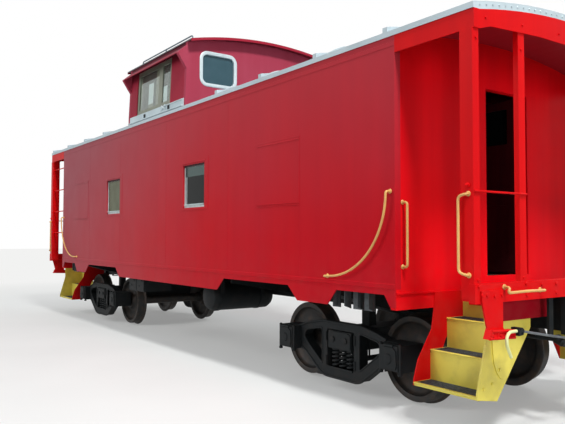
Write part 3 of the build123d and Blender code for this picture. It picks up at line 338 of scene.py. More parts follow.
def round_bar(route, radius, bend=0.04, sides=12):
    """A round bar: a circle carried along the route, turning with it and not about it."""
    line = rounded_route(route, bend) if len(route) > 2 else np.asarray(route, dtype=float)
    headings = np.gradient(line, axis=0)
    headings /= np.linalg.norm(headings, axis=1, keepdims=True)
    first, second = across(headings[0])
    rings = []
    for point, heading in zip(line, headings):
        first = first - heading * first.dot(heading)
        first /= np.linalg.norm(first)
        rings.append(point + circle(first, np.cross(heading, first), sides) * radius)
    return loft(rings)


def plate(outline, axis, low, high):
    """A flat plate from low to high on an axis; its outline is given on the other two, in X, Y, Z order."""
    outline = np.asarray(outline, dtype=float)
    return loft([np.insert(outline, "xyz".index(axis), level, axis=1) for level in sorted((low, high))])


def copies(shapes, signs, centre_x=0.0):
    """Shapes repeated for each pair of signs (a, b): the point (x, y, z) goes to (centre_x + a x, b y, z)."""
    return [(points * (along, over, 1) + (centre_x, 0, 0), faces)
            for along, over in signs for points, faces in shapes]


both_sides = ((1, -1), (1, 1))
wall_y = 1.462
body_x = 4.831
seam_places = (-3.178, -1.645, 0.150, 1.930, 3.430)
lip_bands = ((1.171, 1.219, 0.0045), (3.336, 3.380, 0.0030))
sign_plates = ((2.600, 3.424), (-4.090, -3.270))
window_plates = ((0.680, 1.350), (-2.305, -1.635))
# Each border as its height, how far its middle stands out of the wall, its radius and its sides
sign_borders = (
    (2.706, 0.001, 0.0050, 8), (2.676, 0.004, 0.0050, 8),
    (2.000, 0.004, 0.0035, 8), (1.975, 0.001, 0.0035, 8),
)
window_borders = ((2.652, 0.004, 0.0080, 10), (2.012, 0.001, 0.0050, 8))
seams = []
for low_z, high_z, proud in lip_bands:
    root_y = wall_y - 0.002
    face_y = wall_y + proud
    outline = [(root_y, low_z), (face_y, low_z + proud), (face_y, high_z - proud), (root_y, high_z)]
    seams.append(plate(outline, "x", 0.003 - body_x, body_x - 0.003))
for x in seam_places:
    seams.append(round_bar([(x, wall_y - 0.0012, 1.215), (x, wall_y - 0.0012, 3.340)], 0.0030, sides=8))
for spans, borders in ((sign_plates, sign_borders), (window_plates, window_borders)):
    for span in spans:
        for z, proud, radius, sides in borders:
            seams.append(round_bar([(x, wall_y + proud, z) for x in span], radius, sides=sides))
piece("side_seams", copies(seams, both_sides), side_red, "car_body")


# Side windows
# Extruded aluminium frames, screwed into the wall, hold dark tinted panes; a dark strip over and beside each
# frame is painted shade. A film darkens the top of one pair, a painted board closes the other, and a drip
# strip throws water off each sill.
def plain_finish(name, low, high, roughness, metallic=0.0, waves=6, spread=(0.3, 0.75), bump=0.0,
                 specular=0.5):
    """Two tones mottled by noise of so many waves a metre, with an optional bump in grains of 7 mm."""
    material, tree, coords = new_material(name)
    shade = mottled(tree, coords, waves, 5, spread, linear(low), linear(high))
    inputs = {"Base Color": shade, "Roughness": roughness, "Metallic": metallic,
              "Specular IOR Level": specular}
    if bump:
        grains = add(tree, "TexNoise", {"Vector": coords, "Scale": 140, "Detail": 3})
        inputs["Normal"] = add(tree, "Bump", {"Height": grains, "Distance": bump, "Strength": 0.5})
    add(tree, "OutputMaterial", {"Surface": add(tree, "BsdfPrincipled", inputs)})
    return material


def glass_finish(name, low, high, clearness, specular=0.3):
    """A tinted pane with faint smears 200 mm wide; clearness is how much light passes."""
    material, tree, coords = new_material(name)
    shade = mottled(tree, coords, 5, 4, (0.3, 0.8), linear(low), linear(high))
    shader = add(tree, "BsdfPrincipled", {"Base Color": shade, "Roughness": 0.05, "IOR": 1.45,
                                          "Specular IOR Level": specular, "Transmission Weight": clearness})
    add(tree, "OutputMaterial", {"Surface": shader})
    return material


def cuboid(x, y, z):
    """A box between two values on each axis."""
    return plate([(x[0], y[0]), (x[1], y[0]), (x[1], y[1]), (x[0], y[1])], "z", *z)


# Bare extruded aluminium: pale and cool, with a soft broken shine in patches of 70 mm
frame_metal = plain_finish("satin_aluminium", "#c9d8d8", "#aebdbd", 0.42, 0.3, 14)
# A dark red-brown line over and beside each frame: painted shade
shade_strip_paint = plain_finish("painted_shade_strip", "#2c1216", "#3c1a20", 0.6, specular=0.3)
# Grey tinted glass in front of an unlit cabin: nearly black
pane_glass = glass_finish("tinted_glass", "#0c1111", "#131818", 0.25, 0.05)
# Painted plywood: a flat olive grey in patches of 200 mm
board_paint = plain_finish("olive_board", "#747765", "#626453", 0.7, waves=5, specular=0.2)
# Sun film on the glass: a deep teal band with a clear shine
film = plain_finish("teal_film", "#0c3a34", "#123f3a", 0.25, waves=3)
finish_nodes(frame_metal, ["body_window_frames"])
finish_nodes(pane_glass, ["body_window_glass", "near_door_glass", "far_door_glass"])
near_window_x, far_window_x = 1.015, -1.970
pane_half, frame_half, drip_half = 0.284, 0.310, 0.282
pane_z, film_z, head_z = (2.087, 2.601), (2.465, 2.600), (2.601, 2.627)
pane_y, frame_y = (1.4282, 1.4330), (1.4395, 1.4425)
drip_profile = [(1.463, 2.082), (1.425, 2.090), (1.425, 2.083), (1.463, 2.072)]
stile_near, stile_far = 0.034, 0.022
boards = [cuboid((far_window_x - pane_half, far_window_x + pane_half), pane_y, pane_z)]
films = [cuboid((near_window_x - pane_half, near_window_x + pane_half), pane_y, film_z)]
drips, shade_strips = [], []
for x in (near_window_x, far_window_x):
    far_edge = x - pane_half
    drips.append(plate(drip_profile, "x", x - drip_half, x + drip_half))
    drips.append(cuboid((far_edge + stile_far, far_edge + stile_near), pane_y, pane_z))
    # Painted shade: a dark strip over each frame's head and down its near-end side
    shade_strips.append(cuboid((x - frame_half, x + frame_half), frame_y, head_z))
    shade_strips.append(cuboid((x + pane_half, x + frame_half), frame_y, pane_z))
piece("far_window_boards", copies(boards, both_sides), board_paint, "car_body")
piece("window_films", copies(films, both_sides), film, "car_body")
piece("window_drips", copies(drips, both_sides), frame_metal, "car_body")
piece("window_shade_strips", copies(shade_strips, both_sides), shade_strip_paint, "car_body")


# Roof
# Galvanised sheet with standing seam caps, under aluminium paint that has chalked. Riveted bands close
# its two ends, and the seam caps end in rounded lumps over the eave.
def lathe(profile, place, axis, steps=48):
    """A profile of (radius, distance along the axis) turned about the axis through place."""
    radius, reach = np.array(profile, dtype=float).T[:, :, None, None]
    axis = np.asarray(axis, dtype=float) / np.linalg.norm(axis)
    return loft(np.asarray(place) + axis * reach + circle(*across(axis), steps) * radius)


def bolt(place, axis, radius=0.014, height=0.012):
    """A six-sided head with a chamfer, standing on place."""
    return lathe([(radius, -0.001), (radius, height * 0.7), (radius * 0.8, height)], place, axis, 6)


def bowed(y, half, rise, edge_z):
    """An arc's height at y: z = edge + rise - R + sqrt(R^2 - y^2), where R = (half^2 + rise^2) / 2 rise."""
    arc = (half**2 + rise**2) / (2 * rise)
    return edge_z + rise - arc + np.sqrt(arc**2 - y**2)


def roof_finish(name, top, edge, under):
    """Colours by the way a face looks: up, sideways or down, the first two mottled in clouds of 450 mm."""
    material, tree, coords = new_material(name)
    normal = add(tree, "NewGeometry", {}).outputs["Normal"]
    upward = add(tree, "SeparateXYZ", {"Vector": normal}).outputs["Z"]
    looks_up = add(tree, "MapRange", {"Value": upward, "From Min": 0.45, "From Max": 0.55})
    shade = add(tree, "Mix", {share: looks_up, first_colour: linear(edge), second_colour: linear(top)},
                data_type="RGBA")
    shade = mottled(tree, coords, 2.2, 5, (0.35, 0.7), shade, linear("#8d989b"), most=0.3)
    looks_down = add(tree, "MapRange", {"Value": upward, "From Min": -0.45, "From Max": -0.55})
    shade = add(tree, "Mix", {share: looks_down, first_colour: shade, second_colour: linear(under)},
                data_type="RGBA")
    # Grit in the paint, drawn in grains of 7 mm so that it shows
    grains = add(tree, "TexNoise", {"Vector": coords, "Scale": 140, "Detail": 3})
    grit = add(tree, "Bump", {"Height": grains, "Distance": 0.0006, "Strength": 0.5})
    shader = add(tree, "BsdfPrincipled", {"Base Color": shade, "Roughness": 0.5, "Specular IOR Level": 0.3,
                                          "Normal": grit})
    add(tree, "OutputMaterial", {"Surface": shader})
    return material


# Chalked aluminium paint: a pale blue grey with a dull sheen
roof_paint = plain_finish("aluminium_paint", "#a9b8be", "#c3d2d6", 0.5, 0.3, 2.2, (0.35, 0.7), 0.0006)
# The same on the roof's top and edges, and a deep red below it, over the end platforms
finish_nodes(roof_finish("roof_paints", "#b0bfc5", "#bccad0", "#8e0a1c"), ["roof"])
both_ends = ((-1, 1), (1, 1))
sill_x = 5.700
roof_half, roof_rise, roof_edge_z = 1.470, 0.150, 3.480
rivet_pitch, rivet_drop = 0.0818, 0.030
cap_y, cap_z, cap_half = 1.385, 3.487, 0.070
rivets, caps = [], []
for y in np.arange(-1.390, 1.395, rivet_pitch):
    z = bowed(y, roof_half, roof_rise, roof_edge_z) - rivet_drop
    rivets.append(bolt((sill_x, y, z), (1, 0, 0), 0.009, 0.006))
# Each lump is a row of ellipses, whose half height swells from 4 mm as sin(pi s)^0.6 along it
along = np.linspace(0, 1, 13)[:, None]
turn = np.linspace(0, 2 * math.pi, 14, endpoint=False)[None]
swell = 0.004 + 0.030 * np.clip(np.sin(math.pi * along), 0, 1)**0.6
for first, last in ((1.660, 2.150), (2.700, 3.030), (3.850, 4.180)):
    x = first + (last - first) * along + 0 * turn
    y = cap_y + cap_half * np.cos(turn) + 0 * along
    caps.append(loft(np.stack([x, y, cap_z + swell * np.sin(turn)], axis=-1)))
piece("roof_rivets_and_caps", copies(rivets, both_ends) + copies(caps, both_sides), roof_paint,
      "car_body")


# Cupola
# A welded steel box on the roof: leaning sides with sliding sash windows under a sloping visor, and
# end walls with round-cornered windows. Its roof is thin sheet, and pale flashing seals its foot.
def wall_at(z):
    """The leaning side's outer face at a height: y = 1.410 - (z - 3.600) / 22."""
    return 1.410 - (z - 3.600) / 22


def leaning_sheet(x, z, inset):
    """A flat sheet in a leaning side, between two values of x, of z and of depth in the wall."""
    corners = ((0, 0), (1, 0), (1, 1), (0, 1))
    return plate([(wall_at(z[level]) - inset[depth], z[level]) for level, depth in corners], "x", *x)


window_z, window_flat_y, window_flat_z, window_corner = 4.080, 0.1855, 0.133, 0.125


def rounded_window(x, centre_y, offset, steps=8):
    """The end window's outline, offset outward from its opening: straight flats joined by quarter circles."""
    corners = np.repeat([(1, 1), (-1, 1), (-1, -1), (1, -1)], steps + 1, axis=0)
    turn = math.pi / 2 * (np.arange(4)[:, None] + np.linspace(0, 1, steps + 1)[None]).ravel()
    y = centre_y + corners[:, 0] * window_flat_y + (window_corner + offset) * np.cos(turn)
    z = window_z + corners[:, 1] * window_flat_z + (window_corner + offset) * np.sin(turn)
    return np.stack([np.full_like(y, x), y, z], axis=-1)


# Thick glass before a dim cabin: an even slate blue
end_pane_glass = glass_finish("slate_glass", "#33525c", "#3c5a64", 0.1)
# Clear sheet glass: a faint shine over the blinds behind it
clear_glass = glass_finish("clear_glass", "#f0f6f4", "#e4ece8", 0.97, 0.15)
# Painted sashes: an olive grey, hardly shining
sash_metal = plain_finish("sash_paint", "#777b6c", "#868a79", 0.5, 0.1, 9)
# Cloth blinds, flat olive and khaki, and nearly white sheets of painted daylight that shows between them
blind_olive = plain_finish("dark_olive_blind", "#3c463e", "#4a544a", 0.8, waves=5, specular=0.2)
blind_khaki = plain_finish("khaki_blind", "#7c826c", "#8a8f7a", 0.8, waves=5, specular=0.2)
daylight_sheet_paint = plain_finish("painted_daylight", "#c6d6d6", "#d2dedd", 0.8, waves=5, specular=0.2)
# Rolled aluminium rings: the palest metal on the car, with a soft shine in patches of 100 mm
ring_metal = plain_finish("pale_window_ring", "#cfdadd", "#bcc9cd", 0.4, 0.15, 10)
# Cast steel under old black paint: rough to 7 mm grains, with brown dust in patches of 110 mm
cast_black = plain_finish("black_cast_steel", "#101416", "#221f1d", 0.62, 0.0, 9, (0.5, 0.8), 0.0015, 0.2)
# The cupola's enamel on the rim of its roof, less faded than on its walls: a deeper rose
edge_red = red_enamel("red_enamel_cupola_edges", "#a42436", "#9c2c3e", 0.5, 0.003)
# Grey paint above, dark edges of painted shade, and a dull red below the overhang
cupola_roof_paint = roof_finish("cupola_roof_paints", "#9aa8ae", "#3a2c34", "#6e1422")
finish_nodes(cupola_roof_paint, ["cupola_roof"])
finish_nodes(sash_metal, ["cupola_sashes"])
cupola_near, cupola_far = 0.640, -1.450
end_window_y = 0.870
# The ring's section, as (offset from the opening, distance out of the wall)
ring_profile = [
    (-0.050, -0.030), (-0.050, 0.003), (-0.046, 0.008), (-0.030, 0.012),
    (-0.012, 0.013), (-0.002, 0.010), (0.003, 0.004), (0.003, -0.002),
]
rings, end_panes = [], []
for face_x, outward in ((cupola_near, 1), (cupola_far, -1)):
    for y in (-end_window_y, end_window_y):
        ring = [rounded_window(face_x + outward * reach, y, offset) for offset, reach in ring_profile]
        rings.append(loft(ring, closed=True))
        pane = [rounded_window(face_x - outward * depth, y, -0.049) for depth in (0.034, 0.026)]
        end_panes.append(loft(pane))
end_rings = piece("cupola_end_rings", rings, ring_metal, "car_body")
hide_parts("cupola_end_frames")
side_panes = [leaning_sheet(x, (3.678, 4.249), (0.025, 0.033)) for x in ((-1.049, -0.316), (-0.184, 0.071))]
side_glass = piece("cupola_side_panes", copies(side_panes, both_sides), clear_glass,
                   "car_body")
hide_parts("cupola_glass")
piece("cupola_end_panes", end_panes, end_pane_glass, "car_body")
flashing_profile = [
    (1.409, 3.620), (1.418, 3.612), (1.418, 3.530), (1.452, 3.512), (1.452, 3.500), (1.409, 3.500),
]
flashing = [plate(flashing_profile, "x", -1.372, 0.599)]
piece("cupola_flashing", copies(flashing, both_sides), roof_paint, "car_body")
# Each blind and each sheet of painted daylight as its reach along the car and its heights
whole = (3.660, 4.260)
blinds_and_daylight = (
    ("cupola_olive_blinds", blind_olive, (
        ((-0.985, -0.730), whole), ((-0.730, -0.545), (4.070, 4.260)), ((-0.545, -0.455), whole),
        ((-0.180, -0.040), (3.930, 4.260)), ((-0.040, 0.100), whole),
    )),
    ("cupola_khaki_blinds", blind_khaki, (
        ((-1.080, -0.985), whole), ((-0.730, -0.545), (3.660, 3.740)), ((-0.455, -0.300), whole),
        ((-0.240, -0.180), whole),
    )),
    ("cupola_daylight_sheets", daylight_sheet_paint, (
        ((-0.730, -0.545), (3.740, 4.070)), ((-0.180, -0.040), (3.690, 3.930)),
    )),
)
for name, sheet_finish, sheets in blinds_and_daylight:
    shapes = [leaning_sheet(x, z, (0.036, 0.040)) for x, z in sheets]
    piece(name, copies(shapes, both_sides), sheet_finish, "car_body")
latches = [round_bar([(0.010, 1.424, 3.600), (0.560, 1.424, 3.608)], 0.007, sides=8)]
for rise in (-0.030, 0.030):
    latches.append(round_bar([(-0.120, 1.424, 3.585 - rise), (0.010, 1.430, 3.585 + rise)], 0.011, sides=8))
piece("cupola_sash_latches", copies(latches, both_sides), ring_metal, "car_body")
clips = [cuboid((x - 0.030, x + 0.030), (1.412, 1.426), (3.535, 3.590)) for x in (-0.761, 0.112)]
piece("cupola_sash_clips", copies(clips, both_sides), cast_black, "car_body")
overhang = 0.125
crown_y = np.linspace(-1.383, 1.383, 25)
crown_z = bowed(crown_y, 1.385, 0.167, 4.443)
edges = []
for face_x, outward in ((cupola_near + overhang, 1), (cupola_far - overhang, -1)):
    back_x, front_x = face_x - outward * 0.004, face_x + outward * 0.006
    corners = ((back_x, 0.040), (front_x, 0.040), (front_x, 0.001), (back_x, 0.001))
    rim = [np.stack([np.full_like(crown_y, x), crown_y, crown_z - drop], axis=-1) for x, drop in corners]
    edges.append(loft(np.stack(rim, axis=1)))
piece("cupola_roof_edges", edges, edge_red, "car_body")


# Handrails on the cupola
# Round steel bar over each side of the cupola's roof, bent down at both ends, with a short post in the
# middle, all welded to small pads. The paint on it has weathered to a flat blue grey.
rail_y, rail_foot_z, pad_z, rail_top_z = 1.245, 4.470, 4.474, 4.565
rail_far, rail_middle, rail_near = -1.250, -0.355, 0.540
rail_shapes = [
    round_bar([(rail_far, rail_y, rail_foot_z), (rail_far, rail_y, rail_top_z),
               (rail_near, rail_y, rail_top_z), (rail_near, rail_y, rail_foot_z)], 0.0105, 0.045),
    round_bar([(rail_middle, rail_y, rail_foot_z), (rail_middle, rail_y, rail_top_z)], 0.009),
]
for x in (rail_far, rail_middle, rail_near):
    rail_shapes.append(lathe([(0.028, 0), (0.028, 0.006), (0.014, 0.014)], (x, rail_y, pad_z), (0, 0, 1), 12))
# Bare and painted patches of 80 mm: a cool grey that hardly shines
rail_grey = plain_finish("weathered_rail_paint", "#56626a", "#6c7880", 0.55, 0.2, 12)
handrails = piece("cupola_handrail_bars", copies(rail_shapes, both_sides), rail_grey,
                  "car_body")
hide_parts("cupola_handrails")


# Bolts and lugs on the ends
# Steel bolts and rivets under the red enamel, on the end sill, the brackets and their feet, the body's
# end beam, the posts and the fascia, with cast lips and ribs on the feet. Skirt plates hang behind the sill.
all_corners = ((-1, -1), (-1, 1), (1, -1), (1, 1))
lip_x, foot_inner_y = 5.760, 1.072
# Each row as its x, the size of a head, and the (y, z) places
bolt_rows = (
    (sill_x, 0.015, (
        (1.436, 1.250), (0.832, 1.252), (0.611, 1.236), (0.824, 1.159), (0.400, 1.236), (0.400, 1.159),
    )),
    (sill_x + 0.016, 0.013, ((1.420, 1.183), (1.359, 1.180), (1.264, 1.169), (1.175, 1.174))),
    (sill_x + 0.060, 0.014, ((1.350, 0.872), (1.250, 0.866), (1.150, 0.860))),
    (body_x + 0.002, 0.013, ((0.919, 1.058), (0.771, 1.062), (0.627, 1.056))),
    (sill_x, 0.011, ((1.320, 3.375), (0.836, 3.405), (0.300, 3.430))),
)
bolts = [bolt((x, y, z), (1, 0, 0), size, size * 0.8) for x, size, places in bolt_rows for y, z in places]
bolts += [bolt((5.688, y, z), (1, 0, 0), 0.011, 0.009) for y in (0.845, 1.430) for z in (1.300, 3.200)]
bolts.append(round_bar([(5.640, 1.474, 2.030), (5.640, 1.492, 2.046)], 0.016))
for low_z, high_z, outer_y in ((0.838, 0.851, 1.388), (0.892, 0.908, 1.360)):
    bolts.append(round_bar([(lip_x, foot_inner_y, low_z), (lip_x, outer_y, high_z)], 0.011))
for y, lean in ((1.370, -0.010), (1.296, -0.014), (1.185, 0.012)):
    bolts.append(round_bar([(lip_x, y, 0.845), (lip_x, y + lean, 0.902)], 0.008, sides=8))
piece("end_bolts", copies(bolts, all_corners), trim_red, "car_body")
# The trim's red made dull and dark: painted shade under the sill
skirt_shade_red = red_enamel("red_enamel_skirts", "#96081a", "#8c0a1a", 0.45, 0.002)
skirts = [cuboid((5.5625, 5.5700), (0.300, 1.140), (0.937, 1.118))]
piece("platform_skirts", copies(skirts, all_corners), skirt_shade_red, "car_body")


# Grab irons
# Round steel bars bent to shape, with flattened ends bolted on, under yellow safety enamel that is
# chipped and grimy where hands and weather reach it.
# Yellow enamel with olive grime in patches of 140 mm: warm, and half bright
yellow, tree, coords = new_material("yellow_enamel")
shade = mottled(tree, coords, 7, 6, (0.45, 0.75), linear("#d8c850"), linear("#8f8238"), most=0.35)
shader = add(tree, "BsdfPrincipled", {"Base Color": shade, "Roughness": 0.42})
add(tree, "OutputMaterial", {"Surface": shader})
finish_nodes(yellow, ["steps_near", "steps_far"])
# The same yellow worn thin on the bars: nearer to amber
amber = plain_finish("amber_enamel", "#d8aa60", "#c69454", 0.42, 0.0, 7)
bar_radius, bend_radius, stand_off = 0.0115, 0.035, 0.055
# The side bar falls on a quarter ellipse: x = body - 0.873 + 0.813 cos a, z = 2.039 - 0.788 sin a
turn = np.linspace(0, math.pi / 2, 16)
inward = np.append(0.873 - 0.813 * np.cos(turn), 0.935)
level = np.append(2.039 - 0.788 * np.sin(turn), 1.248)
side_bar = np.stack([body_x - inward, np.full_like(inward, wall_y + stand_off), level], axis=-1)
side_feet = side_bar[[0, -1]] - (0, stand_off, 0)
wall_bar_x, wall_bar_y = body_x + 0.058, 1.370
foot_x, rod_x, foot_y, rod_y = 5.640, 5.567, 1.474, 1.510
front_x = sill_x + 0.058
routes = (
    [side_feet[0], *side_bar, side_feet[1]],
    [(body_x, wall_bar_y, 1.369), (wall_bar_x, wall_bar_y, 1.369), (wall_bar_x, wall_bar_y, 1.942),
     (body_x, wall_bar_y, 1.942)],
    [(foot_x, foot_y, 1.335), (foot_x, rod_y, 1.338), (rod_x, rod_y, 1.355),
     (rod_x, rod_y, 1.952), (foot_x, rod_y, 1.967), (foot_x, foot_y, 1.970)],
    [(sill_x, 1.122, 1.235), (front_x, 1.126, 1.232), (front_x, 1.150, 1.192),
     (front_x, 0.900, 1.196), (front_x, 0.640, 1.192), (sill_x, 0.640, 1.192)],
)
foot_profile = [(0.022, -0.002), (0.022, 0.005), (0.016, 0.010)]
bars = []
for route in routes:
    bars.append(round_bar(route, bar_radius, bend_radius))
    for foot, inner in ((route[0], route[1]), (route[-1], route[-2])):
        bars.append(lathe(foot_profile, foot, np.subtract(inner, foot), 12))
grab_irons = piece("grab_iron_bars", copies(bars, all_corners), amber, "car_body")
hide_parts("grab_irons")


# Step treads
# Welded bar grating, galvanised: flat bars on edge with cross rods between, in a frame of flat bar with
# a yellow nosing. Below them a bent yellow plate, bolted on, carries a tab.
# Dull zinc, dark between its bars: a speckled grey in spots of 25 mm
tread_steel = plain_finish("galvanised_steel", "#3a3e42", "#686d72", 0.5, 0.6, 40)
tread_low_x, tread_high_x = 4.843, 5.545
tread_x = (tread_low_x, tread_high_x)
nose_width, end_bar = 0.020, 0.008
# Each tread as its height and its inner and outer edges
tread_places = ((0.348, 1.033, 1.252), (0.616, 0.805, 1.033), (0.886, 0.577, 0.805))
grating, nosings = [], []
for level, inner_y, outer_y in tread_places:
    nose_y = outer_y - nose_width
    for y in np.linspace(inner_y + 0.008, nose_y - 0.008, 10):
        grating.append(cuboid(tread_x, (y, y + 0.004), (level - 0.028, level - 0.001)))
    for x in np.linspace(tread_low_x + 0.015, tread_high_x - 0.015, 26):
        grating.append(cuboid((x - 0.003, x + 0.003), (inner_y, nose_y), (level - 0.012, level - 0.003)))
    grating.append(cuboid(tread_x, (inner_y, nose_y), (level - 0.030, level - 0.026)))
    nosings.append(cuboid(tread_x, (nose_y, outer_y), (level - 0.030, level)))
    nosings.append(round_bar([(x, outer_y - 0.001, level - 0.007) for x in tread_x], 0.0065, sides=8))
    for x in (tread_low_x, tread_high_x - end_bar):
        nosings.append(cuboid((x, x + end_bar), (inner_y, outer_y), (level - 0.030, level - 0.001)))
plate_x, tab_x = 5.560, 5.569
tab = [(1.104, 0.795), (0.912, 0.795), (0.905, 0.687), (0.891, 0.602), (0.885, 0.506), (0.901, 0.472),
       (0.950, 0.457), (0.999, 0.471), (1.049, 0.528), (1.083, 0.602), (1.095, 0.685)]
nosings.append(plate(tab, "x", plate_x - 0.001, tab_x))
nosings.append(bolt((tab_x, 1.010, 0.545), (1, 0, 0), 0.015, 0.010))
nosings += [bolt((plate_x, y, z), (1, 0, 0), 0.013, 0.009) for y, z in ((1.100, 0.440), (1.210, 0.410))]
tread_grating = piece("tread_grating", copies(grating, all_corners), tread_steel,
                      "car_body")
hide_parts("step_treads")
piece("tread_nosings", copies(nosings, all_corners), yellow, "car_body")


# Platform decks
# Rolled steel deck sheet under the worn red enamel, with raised diamond tread to keep boots from
# slipping: short bars at right angles in turn, pressed up from the sheet.
mark_half, mark_slimness, mark_pitch = 0.012, 0.22, 0.040
deck_z = (1.150, 1.1522)
tread_marks = []
for end in (-1, 1):
    for column, x in enumerate(np.arange(4.900, 5.620, mark_pitch)):
        for row, y in enumerate(np.arange(-0.530, 0.535, mark_pitch)):
            turn = math.pi / 4 if (column + row) % 2 else -math.pi / 4
            along_x, along_y = mark_half * math.cos(turn), mark_half * math.sin(turn)
            across_x, across_y = -mark_slimness * along_y, mark_slimness * along_x
            corners = [(end * x - along_x, y - along_y), (end * x - across_x, y - across_y),
                       (end * x + along_x, y + along_y), (end * x + across_x, y + across_y)]
            tread_marks.append(plate(corners, "z", *deck_z))
piece("deck_tread_marks", tread_marks, trim_red, "car_body")


# Hand brakes
# A cast iron wheel with six arms, keyed to a gear case that is bolted to the end post, and a steel staff
# from the case down to the sill. All of it is under the red enamel, one at each end, at opposite corners.
half_turn = ((-1, -1), (1, 1))
brake_y, staff_y, staff_x, staff_foot_z, staff_head_z = 0.735, 0.715, 5.682, 1.269, 1.905
hub = np.array((5.778, brake_y, 2.010))
wheel_radius, rim_half_wide, rim_half_thick = 0.191, 0.013, 0.011
sideways, upright = np.array((0, 1, 0)), np.array((0, 0, 1))
section = np.linspace(0, 2 * math.pi, 10, endpoint=False)[None, :, None]
outward = circle(sideways, upright, 48)[:, None]
rim = hub + outward * (wheel_radius + rim_half_wide * np.cos(section))
rim = rim + np.array((rim_half_thick, 0, 0)) * np.sin(section)
hub_profile = [(0.020, -0.090), (0.020, -0.03), (0.036, -0.022), (0.036, 0.010), (0.022, 0.012)]
case_profile = [(0.072, 0), (0.080, 0.006), (0.080, 0.034), (0.068, 0.042)]
wheel_shapes = [
    loft(rim, closed=True),
    lathe(hub_profile, hub, (1, 0, 0), 20),
    lathe(case_profile, (5.688, brake_y, 2.000), (1, 0, 0), 28),
    cuboid((5.676, 5.726), (0.690, 0.802), (staff_head_z, 2.095)),
    round_bar([(staff_x, staff_y, staff_foot_z), (staff_x, staff_y, staff_head_z)], 0.013),
    lathe([(0.034, 0), (0.034, 0.012), (0.018, 0.030)], (staff_x, staff_y, staff_foot_z), (0, 0, 1), 16),
]
wheel_shapes += [round_bar([hub + arm * 0.02, hub + arm * 0.184], 0.010, sides=8)
                 for arm in circle(sideways, upright, 6)]
wheel_shapes += [bolt((5.726, y, z), (1, 0, 0), 0.009, 0.008)
                 for y in (0.700, 0.788) for z in (1.925, 2.078)]
hand_wheels = piece("hand_brake_wheels", copies(wheel_shapes, half_turn), trim_red,
                    "car_body")
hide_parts("hand_brakes")


# Ladders
# Flat steel bar rails with round rungs, welded between the body's corner and the end post at two opposite
# corners, and bolted through the rail. They wear the same red enamel as the trim.
ladder_y, rail_half = 1.432, 0.006
ladder_shapes = [cuboid((body_x, 4.871), (ladder_y - rail_half, ladder_y + rail_half), (1.609, 3.270))]
for z in (1.729, 2.183, 2.637, 3.091):
    ladder_shapes.append(round_bar([(4.868, ladder_y, z), (5.563, ladder_y, z)], 0.011))
    ladder_shapes.append(bolt((4.853, ladder_y + rail_half, z), (0, 1, 0), 0.012, 0.009))
ladders = piece("ladder_bars", copies(ladder_shapes, half_turn), trim_red, "car_body")
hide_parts("ladders")


# Uncoupling levers
# A bent steel rod through a black cast lug beside the corner bracket, with a pale yellow handle that
# hangs in front of the step plate. Pulled by hand, it lifts the coupler's lock.
# Worn grey rod paint, half bare: dull steel in patches of 80 mm
lever_grey = plain_finish("grey_rod_paint", "#6c7175", "#54585c", 0.5, 0.4, 12)
# Sun-bleached yellow: nearly cream, so that it stands out before the shadow
handle_paint = plain_finish("pale_yellow_handle", "#e2e6ac", "#cfd08c", 0.45, 0.0, 10)
lever_x, hang_x = 5.775, 5.791
lug_x = (5.716, 5.792)
rods = [round_bar([(5.950, -0.060, 0.735), (lever_x, -0.150, 0.740), (lever_x, -0.700, 0.830),
                   (lever_x, -1.016, 0.886), (lever_x, -1.080, 0.890)], 0.0105, 0.05)]
handles = [round_bar([(lever_x, -1.075, 0.890), (hang_x, -1.180, 0.894), (hang_x, -1.222, 0.860),
                      (hang_x, -1.220, 0.790), (lever_x, -1.144, 0.690)], 0.0130, 0.035)]
lug_outline = [(-1.062, 0.850), (-1.002, 0.856), (-1.002, 0.900), (-1.018, 0.915), (-1.062, 0.915)]
sleeve = [(0.020, -0.034), (0.024, -0.030), (0.024, 0.030), (0.020, 0.034)]
lugs = [
    plate(lug_outline, "x", *lug_x),
    lathe(sleeve, (lever_x, -1.032, 0.888), (0, 1, 0), 16),
    cuboid((5.940, 5.960), (-0.060, -0.040), (0.728, 0.761)),
]
lugs += [bolt((lug_x[1], y, z), (1, 0, 0), 0.011, 0.010) for y, z in ((-1.020, 0.875), (-1.048, 0.905))]
levers = piece("uncoupling_rods", copies(rods, half_turn), lever_grey, "car_body")
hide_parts("uncoupling_levers")
piece("uncoupling_handles", copies(handles, half_turn), handle_paint, "car_body")
piece("uncoupling_lugs", copies(lugs, half_turn), cast_black, "car_body")


# Couplers
# Cast steel heads with a knuckle on its pin, a rounded guard arm and a ribbed shank, under black paint.
# The shank runs through a striker casting that is bolted to the end sill.
finish_nodes(cast_black, ["underframe", "battery_box", "coupler_near", "coupler_far"])
round_edges(["coupler_near", "coupler_far"], 0.010)
knuckle_x, knuckle_y = 6.085, 0.118
coupler_shapes = [
    lathe([(0.030, 0), (0.030, 0.014), (0.016, 0.026)], (knuckle_x, knuckle_y, 1.041), (0, 0, 1), 16),
    lathe([(0.022, 0), (0.022, 0.020)], (knuckle_x, knuckle_y, 0.741), (0, 0, 1), 12),
]
coupler_shapes += [cuboid((5.72, 5.89), (-0.079, 0.079), (z - 0.008, z + 0.008)) for z in (0.870, 0.932)]
coupler_shapes += [cuboid((sill_x, 5.722), (-0.150, 0.150), z) for z in ((0.780, 0.822), (0.998, 1.050))]
coupler_shapes += [bolt((sill_x, y, z), (1, 0, 0), 0.016, 0.012)
                   for y in (-0.200, 0.200) for z in (0.830, 0.940, 1.050)]
piece("coupler_fittings", copies(coupler_shapes, both_ends), cast_black, "car_body")


